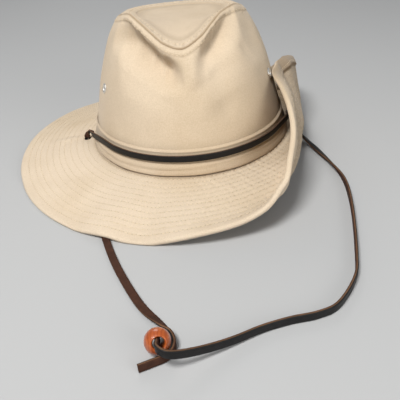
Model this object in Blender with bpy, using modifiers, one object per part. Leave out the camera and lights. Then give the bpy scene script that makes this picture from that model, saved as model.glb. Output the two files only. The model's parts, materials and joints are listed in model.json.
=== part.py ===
"""Outback hat of stiff canvas, its right side snapped up, with a leather chin lace and a wooden bead.

Metres, +Z up. The hat stands on its brim on the plane z = 0, its front towards -Y, and the brim side
that is snapped up is at +X. Angles go round the hat from the front, 0, over +X, 90, to the back, 180.
"""

import math
from collections import namedtuple

import bmesh
import bpy
from mathutils import Matrix, Vector
from mathutils.bvhtree import BVHTree

for old in list(bpy.data.objects):
    bpy.data.objects.remove(old, do_unlink=True)

# Crown: half sizes of its foot and of its top, its height, and the canvas that it is sewn from
CROWN_HALF_WIDTH = 0.085
CROWN_HALF_LENGTH = 0.101
TIP_HALF_WIDTH = 0.588 * CROWN_HALF_WIDTH
TIP_HALF_LENGTH = 0.733 * CROWN_HALF_LENGTH
CROWN_HEIGHT = 0.1105
CROWN_CANVAS = 0.0015
PINCH_DEPTH = 0.015

# Brim: its width along the cloth, its stitched double canvas, and the height of the crown's foot
BRIM_WIDTH = 0.0725
BRIM_CANVAS = 0.0022
BRIM_TUCK = 0.003
FOOT_HEIGHT = 0.0155
FLOOR_EASE = 0.0004

# Folded canvas band round the foot of the crown
BAND_FOOT = 0.0006
BAND_HEIGHT = 0.019
BAND_THICKNESS = 0.0040

# Leather lace, its holes in the brim, and the bead on it
LACE_WIDTH = 0.005
LACE_THICKNESS = 0.0018
LACE_HOLE = 0.0066
LACE_HOLE_REACH = 0.0110
LACE_HOLE_ANGLE = 87.0
BEAD_DIAMETER = 0.014
BEAD_BORE = 0.0064
BEAD_CENTRE = (-0.0093, -0.2590)
BEAD_TURN = 12.0
BEAD_TILT = 32.0

# Metal eyelets in the crown's sides, their inner washer as a share of the outer one, and the press stud
# that holds the brim up, with its place as a share of the brim's width
EYELET_HEIGHT = 0.054
EYELET_ANGLE = 64.0
EYELET_DIAMETER = 0.0085
EYELET_BORE = 0.0044
EYELET_METAL = 0.0007
EYELET_BACK = 0.85
STUD_DIAMETER = 0.010
STUD_ANGLE = 79.0
STUD_REACH = 0.72

GAP = 0.0003
FULL_TURN = 360.0

# Brim, row by row round the hat: its slope at the crown, past the turn and in the hem (degrees, up is
# plus), where along its width the cloth starts to turn, and how much of the width the turn takes
BrimRow = namedtuple("BrimRow", "angle root_slope body_slope hem_slope fold_at fold_span")
BRIM_ROWS = (
    BrimRow(-180, -10, -15, -15, 0.10, 0.80),
    BrimRow(-155, -10, -15, -15, 0.10, 0.80),
    BrimRow(-125, -6, -10, -10, 0.10, 0.80),
    BrimRow(-100, -5, -8, -8, 0.10, 0.80),
    BrimRow(-80, -6, -9, -9, 0.10, 0.80),
    BrimRow(-58, -10, -14, -14, 0.10, 0.80),
    BrimRow(-40, -10, -15, -15, 0.10, 0.80),
    BrimRow(-25, -7, -9, -9, 0.10, 0.80),
    BrimRow(-16, -10, -13, -13, 0.20, 0.70),
    BrimRow(-9, -7, -9, -9, 0.20, 0.70),
    BrimRow(0, -5, 0, 2, 0.50, 0.40),
    BrimRow(8, -3, 9, 12, 0.62, 0.30),
    BrimRow(14, -1, 24, 31, 0.66, 0.25),
    BrimRow(20, 1, 58, 70, 0.665, 0.20),
    BrimRow(25, 2, 77, 87, 0.55, 0.21),
    BrimRow(30, 3, 89, 98, 0.47, 0.22),
    BrimRow(40, 4, 101, 119, 0.32, 0.22),
    BrimRow(50, 4, 106, 144, 0.195, 0.24),
    BrimRow(62, 5, 112, 156, 0.12, 0.24),
    BrimRow(72, 5, 117, 146, 0.11, 0.24),
    BrimRow(80, 6, 117, 122, 0.105, 0.24),
    BrimRow(90, 5, 105, 160, 0.12, 0.24),
    BrimRow(100, 4, 103, 146, 0.19, 0.26),
    BrimRow(112, 3, 99, 120, 0.33, 0.26),
    BrimRow(121, 3, 94, 102, 0.46, 0.24),
    BrimRow(130, 1, 86, 92, 0.56, 0.22),
    BrimRow(138, -2, 66, 72, 0.64, 0.22),
    BrimRow(147, -7, 22, 28, 0.70, 0.22),
    BrimRow(155, -10, -12, -12, 0.40, 0.50),
    BrimRow(163, -10, -14, -14, 0.20, 0.70),
)
HEM = 0.0105

# Seam of the crown's top, as shares of the tip's half sizes and of the crown's height
SeamRow = namedtuple("SeamRow", "angle across along height")
SEAM_ROWS = (
    SeamRow(-180, 0.00, 1.00, 0.882),
    SeamRow(-150, -0.64, 0.84, 0.891),
    SeamRow(-120, -0.96, 0.43, 0.910),
    SeamRow(-90, -1.00, 0.00, 0.937),
    SeamRow(-60, -0.92, -0.36, 0.977),
    SeamRow(-45, -0.80, -0.54, 1.000),
    SeamRow(-32, -0.64, -0.69, 0.955),
    SeamRow(-22, -0.48, -0.81, 0.895),
    SeamRow(-12, -0.30, -0.91, 0.832),
    SeamRow(0, -0.06, -0.97, 0.800),
    SeamRow(12, 0.24, -0.92, 0.862),
    SeamRow(22, 0.42, -0.81, 0.925),
    SeamRow(32, 0.60, -0.69, 0.980),
    SeamRow(45, 0.80, -0.54, 1.000),
    SeamRow(60, 0.92, -0.36, 0.977),
    SeamRow(90, 1.00, 0.00, 0.937),
    SeamRow(120, 0.96, 0.43, 0.910),
    SeamRow(150, 0.64, 0.84, 0.891),
)

# Finger dents either side of the crown's front, and softer hollows, as shares of the pinch's depth
Dent = namedtuple("Dent", "angle height depth half_angle half_height")
DENTS = (
    Dent(-46, 0.87, 0.40, 12, 0.13),
    Dent(-36, 0.83, 0.62, 12, 0.16),
    Dent(-26, 0.80, 0.72, 12, 0.17),
    Dent(-16, 0.79, 0.72, 11, 0.17),
    Dent(-8, 0.80, 0.58, 8, 0.15),
    Dent(-26, 0.74, 0.28, 22, 0.24),
    Dent(5, 0.80, -0.14, 7, 0.14),
    Dent(13, 0.85, 0.30, 9, 0.13),
    Dent(22, 0.87, 0.48, 12, 0.14),
    Dent(32, 0.90, 0.38, 11, 0.12),
    Dent(20, 0.76, 0.30, 18, 0.24),
    Dent(50, 0.80, 0.20, 18, 0.22),
    Dent(180, 0.80, 0.30, 30, 0.30),
)

# Middle line of the crown's top from front to back, as shares of the tip's length and crown's height
TipRow = namedtuple("TipRow", "along height")
TIP_ROWS = (
    TipRow(-1.00, 0.790),
    TipRow(-0.68, 0.840),
    TipRow(-0.34, 0.873),
    TipRow(0.00, 0.882),
    TipRow(0.40, 0.873),
    TipRow(0.80, 0.873),
    TipRow(1.00, 0.882),
)

# Band's section, from its lower fold over its outer folds to its top edge: shares of its thickness and height
BandRow = namedtuple("BandRow", "stand_off height")
BAND_ROWS = (
    BandRow(0.20, 0.02),
    BandRow(0.82, 0.00),
    BandRow(1.00, 0.05),
    BandRow(0.90, 0.20),
    BandRow(0.78, 0.34),
    BandRow(0.54, 0.46),
    BandRow(0.42, 0.54),
    BandRow(0.40, 0.86),
    BandRow(0.50, 0.94),
    BandRow(0.38, 1.00),
    BandRow(0.20, 0.97),
)


def eased(rows, column, angle):
    """The value of a column at an angle, on a cyclic monotone cubic through the rows."""
    count = len(rows)
    angle = (angle + 180.0) % FULL_TURN - 180.0
    last = max(i for i in range(count) if rows[i].angle <= angle)

    def knot(i):
        turns, place = divmod(i, count)
        return rows[place].angle + FULL_TURN * turns, getattr(rows[place], column)

    def slope(i):
        (x0, y0), (x1, y1), (x2, y2) = knot(i - 1), knot(i), knot(i + 1)
        before, after = (y1 - y0) / (x1 - x0), (y2 - y1) / (x2 - x1)
        return 0.0 if before * after <= 0 else 2 * before * after / (before + after)

    (x0, y0), (x1, y1) = knot(last), knot(last + 1)
    span = x1 - x0
    t = (angle - x0) / span
    return (
        y0 * (2 * t**3 - 3 * t**2 + 1)
        + span * slope(last) * (t**3 - 2 * t**2 + t)
        + y1 * (3 * t**2 - 2 * t**3)
        + span * slope(last + 1) * (t**3 - t**2)
    )


def smooth_step(x):
    x = min(max(x, 0.0), 1.0)
    return x * x * (3 - 2 * x)


def hollow(x):
    """A soft bump, 1 in the middle and 0 at -1 and 1."""
    return (1 - x * x) ** 2 if abs(x) < 1 else 0.0


def oval(angle, half_width, half_length):
    turn = math.radians(angle)
    return Vector((half_width * math.sin(turn), -half_length * math.cos(turn), 0.0))


def outward(angle):
    turn = math.radians(angle)
    return Vector((math.sin(turn) / CROWN_HALF_WIDTH, -math.cos(turn) / CROWN_HALF_LENGTH, 0.0)).normalized()


def seam_point(angle):
    """The seam between the crown's side and its top, from the foot's middle."""
    across, along, height = (eased(SEAM_ROWS, column, angle) for column in SeamRow._fields[1:])
    return Vector((across * TIP_HALF_WIDTH, along * TIP_HALF_LENGTH, height * CROWN_HEIGHT))


def wall_point(angle, share):
    """A point of the crown's side, share 0 at its foot and 1 at the seam, with the dents pressed in."""
    foot = oval(angle, CROWN_HALF_WIDTH, CROWN_HALF_LENGTH)
    top = seam_point(angle)
    lean = 0.80 * max(share, 0.0) ** 1.45 + 0.20 * max(share, 0.0) ** 10
    point = foot.lerp(top, lean)
    point.z = top.z * share
    pressed = 0.0
    for dent in DENTS:
        off = (angle - dent.angle + 180.0) % FULL_TURN - 180.0
        pressed += dent.depth * hollow(off / dent.half_angle) * hollow((share - dent.height) / dent.half_height)
    fade = smooth_step((1.0 - share) / 0.06)
    return CENTRE + point - outward(angle) * PINCH_DEPTH * pressed * fade


def wall_at_height(angle, height):
    """The crown's side at a height over its foot, and the directions out of it and up it."""
    share = height / seam_point(angle).z
    point = wall_point(angle, share)
    up = (wall_point(angle, share + 0.02) - wall_point(angle, share - 0.02)).normalized()
    along = (wall_point(angle + 1.0, share) - wall_point(angle - 1.0, share)).normalized()
    return point, up.cross(along).normalized() * -1.0, up


def tip_point(angle, share):
    """A point of the crown's top, share 0 in the middle and 1 at the seam."""
    rim = seam_point(angle)
    place = Vector((rim.x * share, rim.y * share, 0.0))
    rise = rim.z - middle_height(rim.y)
    place.z = middle_height(place.y) + rise * share**2.4
    return CENTRE + place


def middle_height(y):
    along = min(max(y / TIP_HALF_LENGTH, -1.0), 1.0)
    after = next(i for i in range(1, len(TIP_ROWS)) if along <= TIP_ROWS[i].along)
    a, b = TIP_ROWS[after - 1], TIP_ROWS[after]
    return CROWN_HEIGHT * (a.height + (b.height - a.height) * (along - a.along) / (b.along - a.along))


def brim_section(angle, reach_along, steps=48):
    """How far out and up the brim's top face is, that far along the cloth from the crown's side."""
    if reach_along <= 0:
        return reach_along, 0.0
    root, body, hem, fold_at, fold_span = (eased(BRIM_ROWS, column, angle) for column in BrimRow._fields[1:])
    out = rise = 0.0
    step = reach_along / steps
    for i in range(steps):
        way = (i + 0.5) * step
        slope = root + (body - root) * smooth_step((way / BRIM_WIDTH - fold_at) / fold_span)
        slope += (hem - body) * smooth_step((way - BRIM_WIDTH) / HEM + 1.25)
        slope = math.radians(slope)
        out += math.cos(slope) * step
        rise += math.sin(slope) * step
    return out, rise


def brim_across(angle, reach_along):
    """How far towards +X the brim is there, from the middle of the crown."""
    return (oval(angle, CROWN_HALF_WIDTH, CROWN_HALF_LENGTH) + outward(angle) * brim_section(angle, reach_along)[0]).x


# The turned-up side takes less room than the flat one, so the crown stands off the middle of the hat.
flat_side = -brim_across(-90.0, BRIM_WIDTH)
turned_up_side = BRIM_CANVAS + max(
    brim_across(angle, BRIM_WIDTH * share / 10) for angle in range(60, 150, 5) for share in range(1, 11)
)
CENTRE = Vector(((flat_side - turned_up_side) / 2, 0.0, FOOT_HEIGHT))


def brim_point(angle, reach_along):
    """A point of the brim's top face, which the floor holds up where it would reach below it."""
    out, rise = brim_section(angle, reach_along)
    point = CENTRE + oval(angle, CROWN_HALF_WIDTH, CROWN_HALF_LENGTH) + outward(angle) * out
    over = point.z + rise - GAP - BRIM_CANVAS
    point.z = BRIM_CANVAS + FLOOR_EASE * math.log1p(math.exp(over / FLOOR_EASE))
    return point


def brim_at(angle, reach_along):
    """The brim's top face there, and the direction out of it."""
    ease = 0.001
    along = brim_point(angle, reach_along + ease) - brim_point(angle, reach_along - ease)
    around = brim_point(angle + 1.0, reach_along) - brim_point(angle - 1.0, reach_along)
    return brim_point(angle, reach_along), around.cross(along).normalized() * -1.0


def finish(name, colour, roughness, metallic=0.0):
    material = bpy.data.materials.new(name)
    material.use_nodes = True
    shader = material.node_tree.nodes["Principled BSDF"]
    shader.inputs["Base Color"].default_value = (*colour, 1.0)
    shader.inputs["Roughness"].default_value = roughness
    shader.inputs["Metallic"].default_value = metallic
    return material


CANVAS = finish("canvas", (0.66, 0.54, 0.38), 0.9)
BRIM_CLOTH = finish("brim_canvas", (0.74, 0.62, 0.44), 0.9)
BAND_CLOTH = finish("band_canvas", (0.60, 0.50, 0.38), 0.9)
LEATHER = finish("leather", (0.03, 0.028, 0.026), 0.5)
SUEDE = finish("suede", (0.10, 0.045, 0.022), 0.85)
WOOD = finish("wood", (0.50, 0.13, 0.025), 0.35)
METAL = finish("metal", (0.80, 0.78, 0.72), 0.3, 1.0)

hat = bpy.data.collections.new("outback_hat")
cutters = bpy.data.collections.new("cutters")
for folder in (hat, cutters):
    bpy.context.scene.collection.children.link(folder)


def add(name, mesh, material, folder=hat):
    mesh.materials.clear()
    if material:
        mesh.materials.append(material)
    mesh.shade_smooth()
    obj = bpy.data.objects.new(name, mesh)
    folder.objects.link(obj)
    return obj


def mapped_grid(name, columns, rows, place, flip=False):
    """A grid primitive whose points go where place(u, v) puts them, sewn up where its sides meet."""
    cloth = bmesh.new()
    bmesh.ops.create_grid(cloth, x_segments=columns, y_segments=rows, size=0.5)
    for vert in cloth.verts:
        vert.co = place(vert.co.x + 0.5, vert.co.y + 0.5)
    bmesh.ops.remove_doubles(cloth, verts=cloth.verts, dist=1e-6)
    if flip:
        bmesh.ops.reverse_faces(cloth, faces=cloth.faces)
    mesh = bpy.data.meshes.new(name)
    cloth.to_mesh(mesh)
    cloth.free()
    return mesh


def thicken(obj, thickness, offset=-1.0):
    wall = obj.modifiers.new("thickness", "SOLIDIFY")
    wall.thickness = thickness
    wall.offset = offset
    wall.use_even_offset = True
    split = obj.modifiers.new("triangles", "TRIANGULATE")
    split.quad_method = "BEAUTY"
    return obj


def applied(obj):
    """The same object with its modifiers made part of its mesh."""
    graph = bpy.context.evaluated_depsgraph_get()
    mesh = bpy.data.meshes.new_from_object(obj.evaluated_get(graph))
    obj.modifiers.clear()
    obj.data = mesh
    return obj


def turned(direction, point):
    """The frame whose z axis is that direction, at that point."""
    return Matrix.Translation(point) @ direction.to_track_quat("Z", "Y").to_matrix().to_4x4()


def drill(obj, diameter, length, frame, sides=16):
    """Bores a round hole along the z axis of the frame."""
    mesh = bpy.data.meshes.new(obj.name + "_drill")
    shape = bmesh.new()
    bmesh.ops.create_cone(
        shape, cap_ends=True, segments=sides, radius1=diameter / 2, radius2=diameter / 2, depth=length
    )
    shape.to_mesh(mesh)
    shape.free()
    cutter = add(obj.name + "_drill", mesh, None, cutters)
    cutter.matrix_world = frame
    cutter.hide_render = True
    cutter.display_type = "WIRE"
    cut = obj.modifiers.new("drill", "BOOLEAN")
    cut.operation = "DIFFERENCE"
    cut.solver = "EXACT"
    cut.object = cutter


def turned_ring(name, profile, frame, material, sides=16):
    """A ring turned from a closed profile of (radius, height) points, run down its outer side."""
    line = bmesh.new()
    verts = [line.verts.new((radius, 0.0, height)) for radius, height in profile]
    for i, vert in enumerate(verts):
        line.edges.new((vert, verts[(i + 1) % len(verts)]))
    mesh = bpy.data.meshes.new(name)
    line.to_mesh(mesh)
    line.free()
    obj = add(name, mesh, material)
    screw = obj.modifiers.new("turn", "SCREW")
    screw.steps = screw.render_steps = sides
    screw.use_merge_vertices = True
    screw.merge_threshold = 1e-5
    obj.matrix_world = frame
    return obj


# Columns of the meshes round the hat, closest together at the front right, where it folds most
AROUND = 60
WALL_ROWS = 10
TIP_RINGS = 4
DENSEST_AT = 30.0
DENSITY = 17.0


def column(u):
    angle = FULL_TURN * u
    return angle - DENSITY * math.sin(math.radians(angle - DENSEST_AT))


# Crown side: one canvas wall from the brim to the top seam
def side_place(u, v):
    angle = column(u)
    height = seam_point(angle).z
    foot = 2 * GAP / height
    return wall_point(angle, foot + v * (1.0 - foot - (CROWN_CANVAS + 2 * GAP) / height))


crown_side = thicken(add("crown_side", mapped_grid("crown_side", AROUND, WALL_ROWS, side_place), CANVAS), CROWN_CANVAS)

# Crown top: the teardrop panel, sewn to the side all round
crown_tip = thicken(
    add("crown_tip", mapped_grid("crown_tip", AROUND, TIP_RINGS, lambda u, v: tip_point(column(u), v)), CANVAS),
    CROWN_CANVAS,
)

# Brim: double canvas, one piece all round, snapped up at +X and flat where it stands
BRIM_STRIPS = 11


def brim_place(u, v):
    return brim_point(column(u), -BRIM_TUCK + v * (BRIM_WIDTH + BRIM_TUCK))


brim = thicken(add("brim", mapped_grid("brim", AROUND, BRIM_STRIPS, brim_place, flip=True), BRIM_CLOTH), BRIM_CANVAS)
applied(brim)
for vert in brim.data.vertices:
    if vert.co.z < FLOOR_EASE / 4:
        vert.co.z = 0.0

# Lace holes through the brim at both sides
for side in (-1, 1):
    hole, up = brim_at(side * LACE_HOLE_ANGLE, LACE_HOLE_REACH)
    drill(brim, LACE_HOLE, 4 * BRIM_CANVAS, turned(up, hole))

# Band: folded canvas, laid round the foot of the crown
BAND_SECTION = len(BAND_ROWS)


def band_place(u, v):
    row = BAND_ROWS[round(v * BAND_SECTION) % BAND_SECTION]
    wall, out, _ = wall_at_height(column(u), BAND_FOOT + row.height * BAND_HEIGHT)
    return wall + out * (GAP + (row.stand_off - BAND_ROWS[0].stand_off) * BAND_THICKNESS)


hat_band = add("hat_band", mapped_grid("hat_band", AROUND, BAND_SECTION, band_place), BAND_CLOTH)

# Eyelets: metal rings clenched through a hole in each side of the crown
for side, name in ((-1, "eyelet_left"), (1, "eyelet_right")):
    wall, out, _ = wall_at_height(side * EYELET_ANGLE, EYELET_HEIGHT)
    place = turned(out, wall)
    barrel = EYELET_BORE / 2 + EYELET_METAL
    drill(crown_side, 2 * (barrel + GAP), 6 * CROWN_CANVAS, place)
    flange, face = EYELET_DIAMETER / 2, GAP + EYELET_METAL
    back = -CROWN_CANVAS - GAP
    profile = (
        (EYELET_BORE / 2, face),
        (flange - EYELET_METAL / 2, face),
        (flange, GAP + EYELET_METAL / 3),
        (flange, GAP),
        (barrel, GAP),
        (barrel, back),
        (flange * EYELET_BACK, back),
        (flange * EYELET_BACK, back - EYELET_METAL),
        (EYELET_BORE / 2, back - EYELET_METAL),
    )
    turned_ring(name, profile, place, METAL)


# Snap: a press stud from the crown's side to the turned-up brim
brim_surface = BVHTree.FromObject(brim, bpy.context.evaluated_depsgraph_get())
stud_height = brim_point(STUD_ANGLE, STUD_REACH * BRIM_WIDTH).z - FOOT_HEIGHT
wall, out, _ = wall_at_height(STUD_ANGLE, stud_height)
reach = min(
    brim_surface.ray_cast(wall + spoke, out)[3]
    for spoke in (turned(out, Vector()) @ oval(turn, STUD_DIAMETER / 2, STUD_DIAMETER / 2) for turn in range(0, 360, 30))
)
stud = bmesh.new()
bmesh.ops.create_cone(
    stud,
    cap_ends=True,
    segments=16,
    radius1=STUD_DIAMETER / 2,
    radius2=STUD_DIAMETER / 2,
    depth=reach - 2 * GAP,
    matrix=Matrix.Translation((0.0, 0.0, reach / 2)),
)
stud_mesh = bpy.data.meshes.new("snap")
stud.to_mesh(stud_mesh)
stud.free()
snap = add("snap", stud_mesh, METAL)
snap.matrix_world = turned(out, wall)


def smooth_route(route, steps):
    """Points of a smooth curve through the route's points, with as many steps between each two."""
    ends = [route[0] * 2 - route[1], *route, route[-1] * 2 - route[-2]]
    points = []
    for i in range(1, len(ends) - 2):
        before, start, end, after = ends[i - 1 : i + 3]
        for step in range(steps):
            t = step / steps
            points.append(
                (start * 2 + (end - before) * t + (before * 2 - start * 5 + end * 4 - after) * t**2
                 + (start * 3 - before - end * 3 + after) * t**3) / 2
            )
    return [*points, route[-1]]


def lace(name, route, material, steps=2):
    """A flat lace along a route of (x, y, z, tilt), upright on its edge at tilt 0 and lying flat at 90."""
    points = smooth_route([Vector(point) for point in route], steps)
    curve = bpy.data.curves.new(name, "CURVE")
    curve.dimensions = "3D"
    curve.twist_mode = "Z_UP"
    curve.extrude = (LACE_WIDTH - LACE_THICKNESS) / 2
    curve.bevel_depth = LACE_THICKNESS / 2
    curve.bevel_resolution = 1
    curve.use_fill_caps = True
    curve.render_resolution_u = 0
    spline = curve.splines.new("POLY")
    spline.points.add(len(points) - 1)
    for point, (x, y, z, tilt) in zip(spline.points, points):
        point.co = (x, y, z, 1.0)
        point.tilt = math.radians(tilt)
    curve.materials.append(material)
    obj = bpy.data.objects.new(name, curve)
    hat.objects.link(obj)
    return obj


# Lace in the band's groove, from the left hole round the front to the right one. The rows lead from the
# hole over the band's folds into the groove: angle from the front, share of the band's height, and lift
# as a share of its thickness.
LaceRow = namedtuple("LaceRow", "angle height lift")
LACE_ROWS = (
    LaceRow(85, 0.28, 0.95),
    LaceRow(79, 0.36, 0.65),
    LaceRow(72, 0.50, 0.30),
    LaceRow(64, 0.64, 0.08),
)
LACE_RISE = 0.002
LACE_ARCH = 0.0018
GROOVE_HEIGHT = 0.70
GROOVE_STAND_OFF = (0.42 - BAND_ROWS[0].stand_off) * BAND_THICKNESS
GROOVE_COLUMNS = 12


def groove_point(angle, height=GROOVE_HEIGHT, lift=0.0):
    wall, out, _ = wall_at_height(angle, BAND_FOOT + height * BAND_HEIGHT)
    return wall + out * (3 * GAP + GROOVE_STAND_OFF + lift * BAND_THICKNESS + LACE_THICKNESS / 2)


def lace_end(side):
    """From under the hole up over the band's folds to the groove."""
    hole, up = brim_at(side * LACE_HOLE_ANGLE, LACE_HOLE_REACH)
    first = LACE_ROWS[0]
    arch = hole.lerp(groove_point(side * LACE_HOLE_ANGLE, first.height, first.lift), 0.45) + up * LACE_ARCH
    rows = [groove_point(side * row.angle, row.height, row.lift) for row in LACE_ROWS]
    return [hole - up * BRIM_CANVAS, hole + up * LACE_RISE, arch, *rows]


front = [groove_point(column(i / AROUND)) for i in range(-GROOVE_COLUMNS, GROOVE_COLUMNS + 1, 2)]
route = [*lace_end(-1), *front, *reversed(lace_end(1))]
lace("lace_front", [(*point, 0.0) for point in route], LEATHER)

# Chin lace: where it lies on the floor, chosen along the way that it takes to the bead
LEFT_ROUTE = (
    (-0.0740, -0.0058, 0.0114, 0),
    (-0.0738, -0.0059, 0.0099, 0),
    (-0.0732, -0.0066, 0.0082, 0),
    (-0.0729, -0.0090, 0.0066, 0),
    (-0.0724, -0.0140, 0.0052, 10),
    (-0.0715, -0.0220, 0.0039, 30),
    (-0.0700, -0.0360, 0.0022, 65),
    (-0.0653, -0.0600, 0.0011, 90),
    (-0.0573, -0.1100, 0.0010, 90),
    (-0.0463, -0.1540, 0.0010, 90),
    (-0.0353, -0.1890, 0.0010, 90),
    (-0.0203, -0.2240, 0.0011, 90),
    (-0.0083, -0.2420, 0.0021, 50),
    (-0.0032, -0.2495, 0.0026, 10),
    (-0.0013, -0.2550, 0.0026, 0),
    (-0.0012, -0.2595, 0.0026, 0),
    (-0.0031, -0.2642, 0.0026, 0),
    (-0.0072, -0.2669, 0.0026, 0),
    (-0.0125, -0.2688, 0.0026, 0),
    (-0.0193, -0.2712, 0.0026, 0),
)
RIGHT_ROUTE = (
    (0.1180, -0.0059, 0.0137, 0),
    (0.1184, -0.0060, 0.0122, 0),
    (0.1190, -0.0070, 0.0103, 0),
    (0.1196, -0.0095, 0.0086, 0),
    (0.1204, -0.0150, 0.0070, 15),
    (0.1220, -0.0250, 0.0052, 40),
    (0.1249, -0.0370, 0.0034, 65),
    (0.1287, -0.0520, 0.0022, 70),
    (0.1332, -0.0840, 0.0026, 35),
    (0.1337, -0.1140, 0.0026, 0),
    (0.1257, -0.1540, 0.0026, 0),
    (0.1117, -0.2030, 0.0026, 0),
    (0.1037, -0.2230, 0.0026, 0),
    (0.0887, -0.2420, 0.0026, 0),
    (0.0757, -0.2480, 0.0026, 0),
    (0.0607, -0.2500, 0.0026, 0),
    (0.0447, -0.2540, 0.0028, 0),
    (0.0287, -0.2610, 0.0040, 0),
    (0.0147, -0.2670, 0.0066, 0),
    (0.0027, -0.2715, 0.0098, 0),
    (-0.0043, -0.2725, 0.0118, 0),
    (-0.0088, -0.2690, 0.0122, 0),
    (-0.0093, -0.2640, 0.0102, 0),
    (-0.0093, -0.2590, 0.0070, 0),
    (-0.0093, -0.2535, 0.0036, 0),
)
lace("chin_lace_left", LEFT_ROUTE, SUEDE)
lace("chin_lace_right", RIGHT_ROUTE, LEATHER)

# Bead: drilled wood, lying where the lace runs through it
ball = bmesh.new()
bmesh.ops.create_uvsphere(ball, u_segments=16, v_segments=10, radius=BEAD_DIAMETER / 2)
ball_mesh = bpy.data.meshes.new("bead")
ball.to_mesh(ball_mesh)
ball.free()
bead = add("bead", ball_mesh, WOOD)
bead.location = (*BEAD_CENTRE, BEAD_DIAMETER / 2)
bead.rotation_euler = (math.radians(90 - BEAD_TILT), 0.0, math.radians(BEAD_TURN))
bpy.context.view_layer.update()
drill(bead, BEAD_BORE, 2 * BEAD_DIAMETER, bead.matrix_world.copy())
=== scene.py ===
"""Outback hat of stiff canvas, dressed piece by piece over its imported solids.

Metres, +Z up. The hat stands on its brim on the plane z = 0 with its front towards -Y, and the brim
side that is snapped up is at +X. Angles go round the hat from the front, 0, over +X, 90, to the back.
"""

import json
import math
from collections import namedtuple

import bmesh
import bpy
import numpy as np
from mathutils import Matrix, Vector

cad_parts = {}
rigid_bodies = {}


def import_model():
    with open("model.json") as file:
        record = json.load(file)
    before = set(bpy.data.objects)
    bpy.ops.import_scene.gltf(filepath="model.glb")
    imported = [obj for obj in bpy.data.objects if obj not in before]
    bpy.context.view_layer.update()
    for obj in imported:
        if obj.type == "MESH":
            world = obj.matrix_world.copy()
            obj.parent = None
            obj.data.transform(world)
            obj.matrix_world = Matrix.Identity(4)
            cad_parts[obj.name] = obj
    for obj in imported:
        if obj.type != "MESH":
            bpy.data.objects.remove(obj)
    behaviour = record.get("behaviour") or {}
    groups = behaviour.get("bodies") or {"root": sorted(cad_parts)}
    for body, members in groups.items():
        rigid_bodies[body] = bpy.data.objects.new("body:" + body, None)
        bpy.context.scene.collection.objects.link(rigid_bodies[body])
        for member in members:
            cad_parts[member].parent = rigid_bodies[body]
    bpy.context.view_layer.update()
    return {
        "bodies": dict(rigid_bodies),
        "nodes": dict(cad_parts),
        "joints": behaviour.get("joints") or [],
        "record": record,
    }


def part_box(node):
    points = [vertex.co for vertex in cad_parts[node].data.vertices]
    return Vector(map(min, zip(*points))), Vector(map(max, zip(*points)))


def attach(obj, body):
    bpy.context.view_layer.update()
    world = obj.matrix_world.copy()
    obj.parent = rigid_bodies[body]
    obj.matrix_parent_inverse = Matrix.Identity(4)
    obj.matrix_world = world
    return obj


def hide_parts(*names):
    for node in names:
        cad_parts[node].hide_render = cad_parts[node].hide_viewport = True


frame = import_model()

# Crown side: one wall of heavy cotton canvas, cut as a long strip and closed at the back. The fingers that
# pinch the hat have dented it either side of the front. It stands on the brim, and its top edge is turned
# in where it is sewn to the top panel.
CROWN_HALF_WIDTH = 0.085
CROWN_HALF_LENGTH = 0.101
MEAN_RADIUS = (CROWN_HALF_WIDTH + CROWN_HALF_LENGTH) / 2
CROWN_HEIGHT = 0.1105
CROWN_CANVAS = 0.0015
TIP_HALF_WIDTH = 0.588 * CROWN_HALF_WIDTH
TIP_HALF_LENGTH = 0.733 * CROWN_HALF_LENGTH
PINCH_DEPTH = 0.015
FOOT_HEIGHT = 0.0155
GAP = 0.0003
COLUMNS = 560

wall_low, wall_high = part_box("crown_side")
CENTRE = np.array([(wall_low.x + wall_high.x) / 2, 0.0, FOOT_HEIGHT])
AROUND = -180.0 + 360.0 * np.arange(COLUMNS + 1)[:, None] / COLUMNS

# Seam of the crown's top, as shares of the top's half sizes and of the crown's height
SeamRow = namedtuple("SeamRow", "angle across along height")
SEAM_ROWS = (
    SeamRow(-180, 0.00, 1.00, 0.882),
    SeamRow(-150, -0.64, 0.84, 0.891),
    SeamRow(-120, -0.96, 0.43, 0.910),
    SeamRow(-90, -1.00, 0.00, 0.937),
    SeamRow(-60, -0.92, -0.36, 0.977),
    SeamRow(-45, -0.80, -0.54, 1.000),
    SeamRow(-32, -0.64, -0.69, 0.955),
    SeamRow(-22, -0.48, -0.81, 0.895),
    SeamRow(-12, -0.30, -0.91, 0.832),
    SeamRow(0, -0.06, -0.97, 0.800),
    SeamRow(12, 0.24, -0.92, 0.862),
    SeamRow(22, 0.42, -0.81, 0.925),
    SeamRow(32, 0.60, -0.69, 0.980),
    SeamRow(45, 0.80, -0.54, 1.000),
    SeamRow(60, 0.92, -0.36, 0.977),
    SeamRow(90, 1.00, 0.00, 0.937),
    SeamRow(120, 0.96, 0.43, 0.910),
    SeamRow(150, 0.64, 0.84, 0.891),
)

# Finger dents and softer hollows in the wall, as shares of the pinch's depth
Dent = namedtuple("Dent", "angle height depth half_angle half_height")
DENTS = (
    Dent(-46, 0.87, 0.40, 12, 0.13),
    Dent(-36, 0.83, 0.62, 12, 0.16),
    Dent(-26, 0.80, 0.72, 12, 0.17),
    Dent(-16, 0.79, 0.72, 11, 0.17),
    Dent(-8, 0.80, 0.58, 8, 0.15),
    Dent(-26, 0.74, 0.28, 22, 0.24),
    Dent(5, 0.80, -0.14, 7, 0.14),
    Dent(13, 0.85, 0.30, 9, 0.13),
    Dent(22, 0.87, 0.48, 12, 0.14),
    Dent(32, 0.90, 0.38, 11, 0.12),
    Dent(20, 0.76, 0.30, 18, 0.24),
    Dent(50, 0.80, 0.20, 18, 0.22),
    Dent(180, 0.80, 0.30, 30, 0.30),
)

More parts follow.
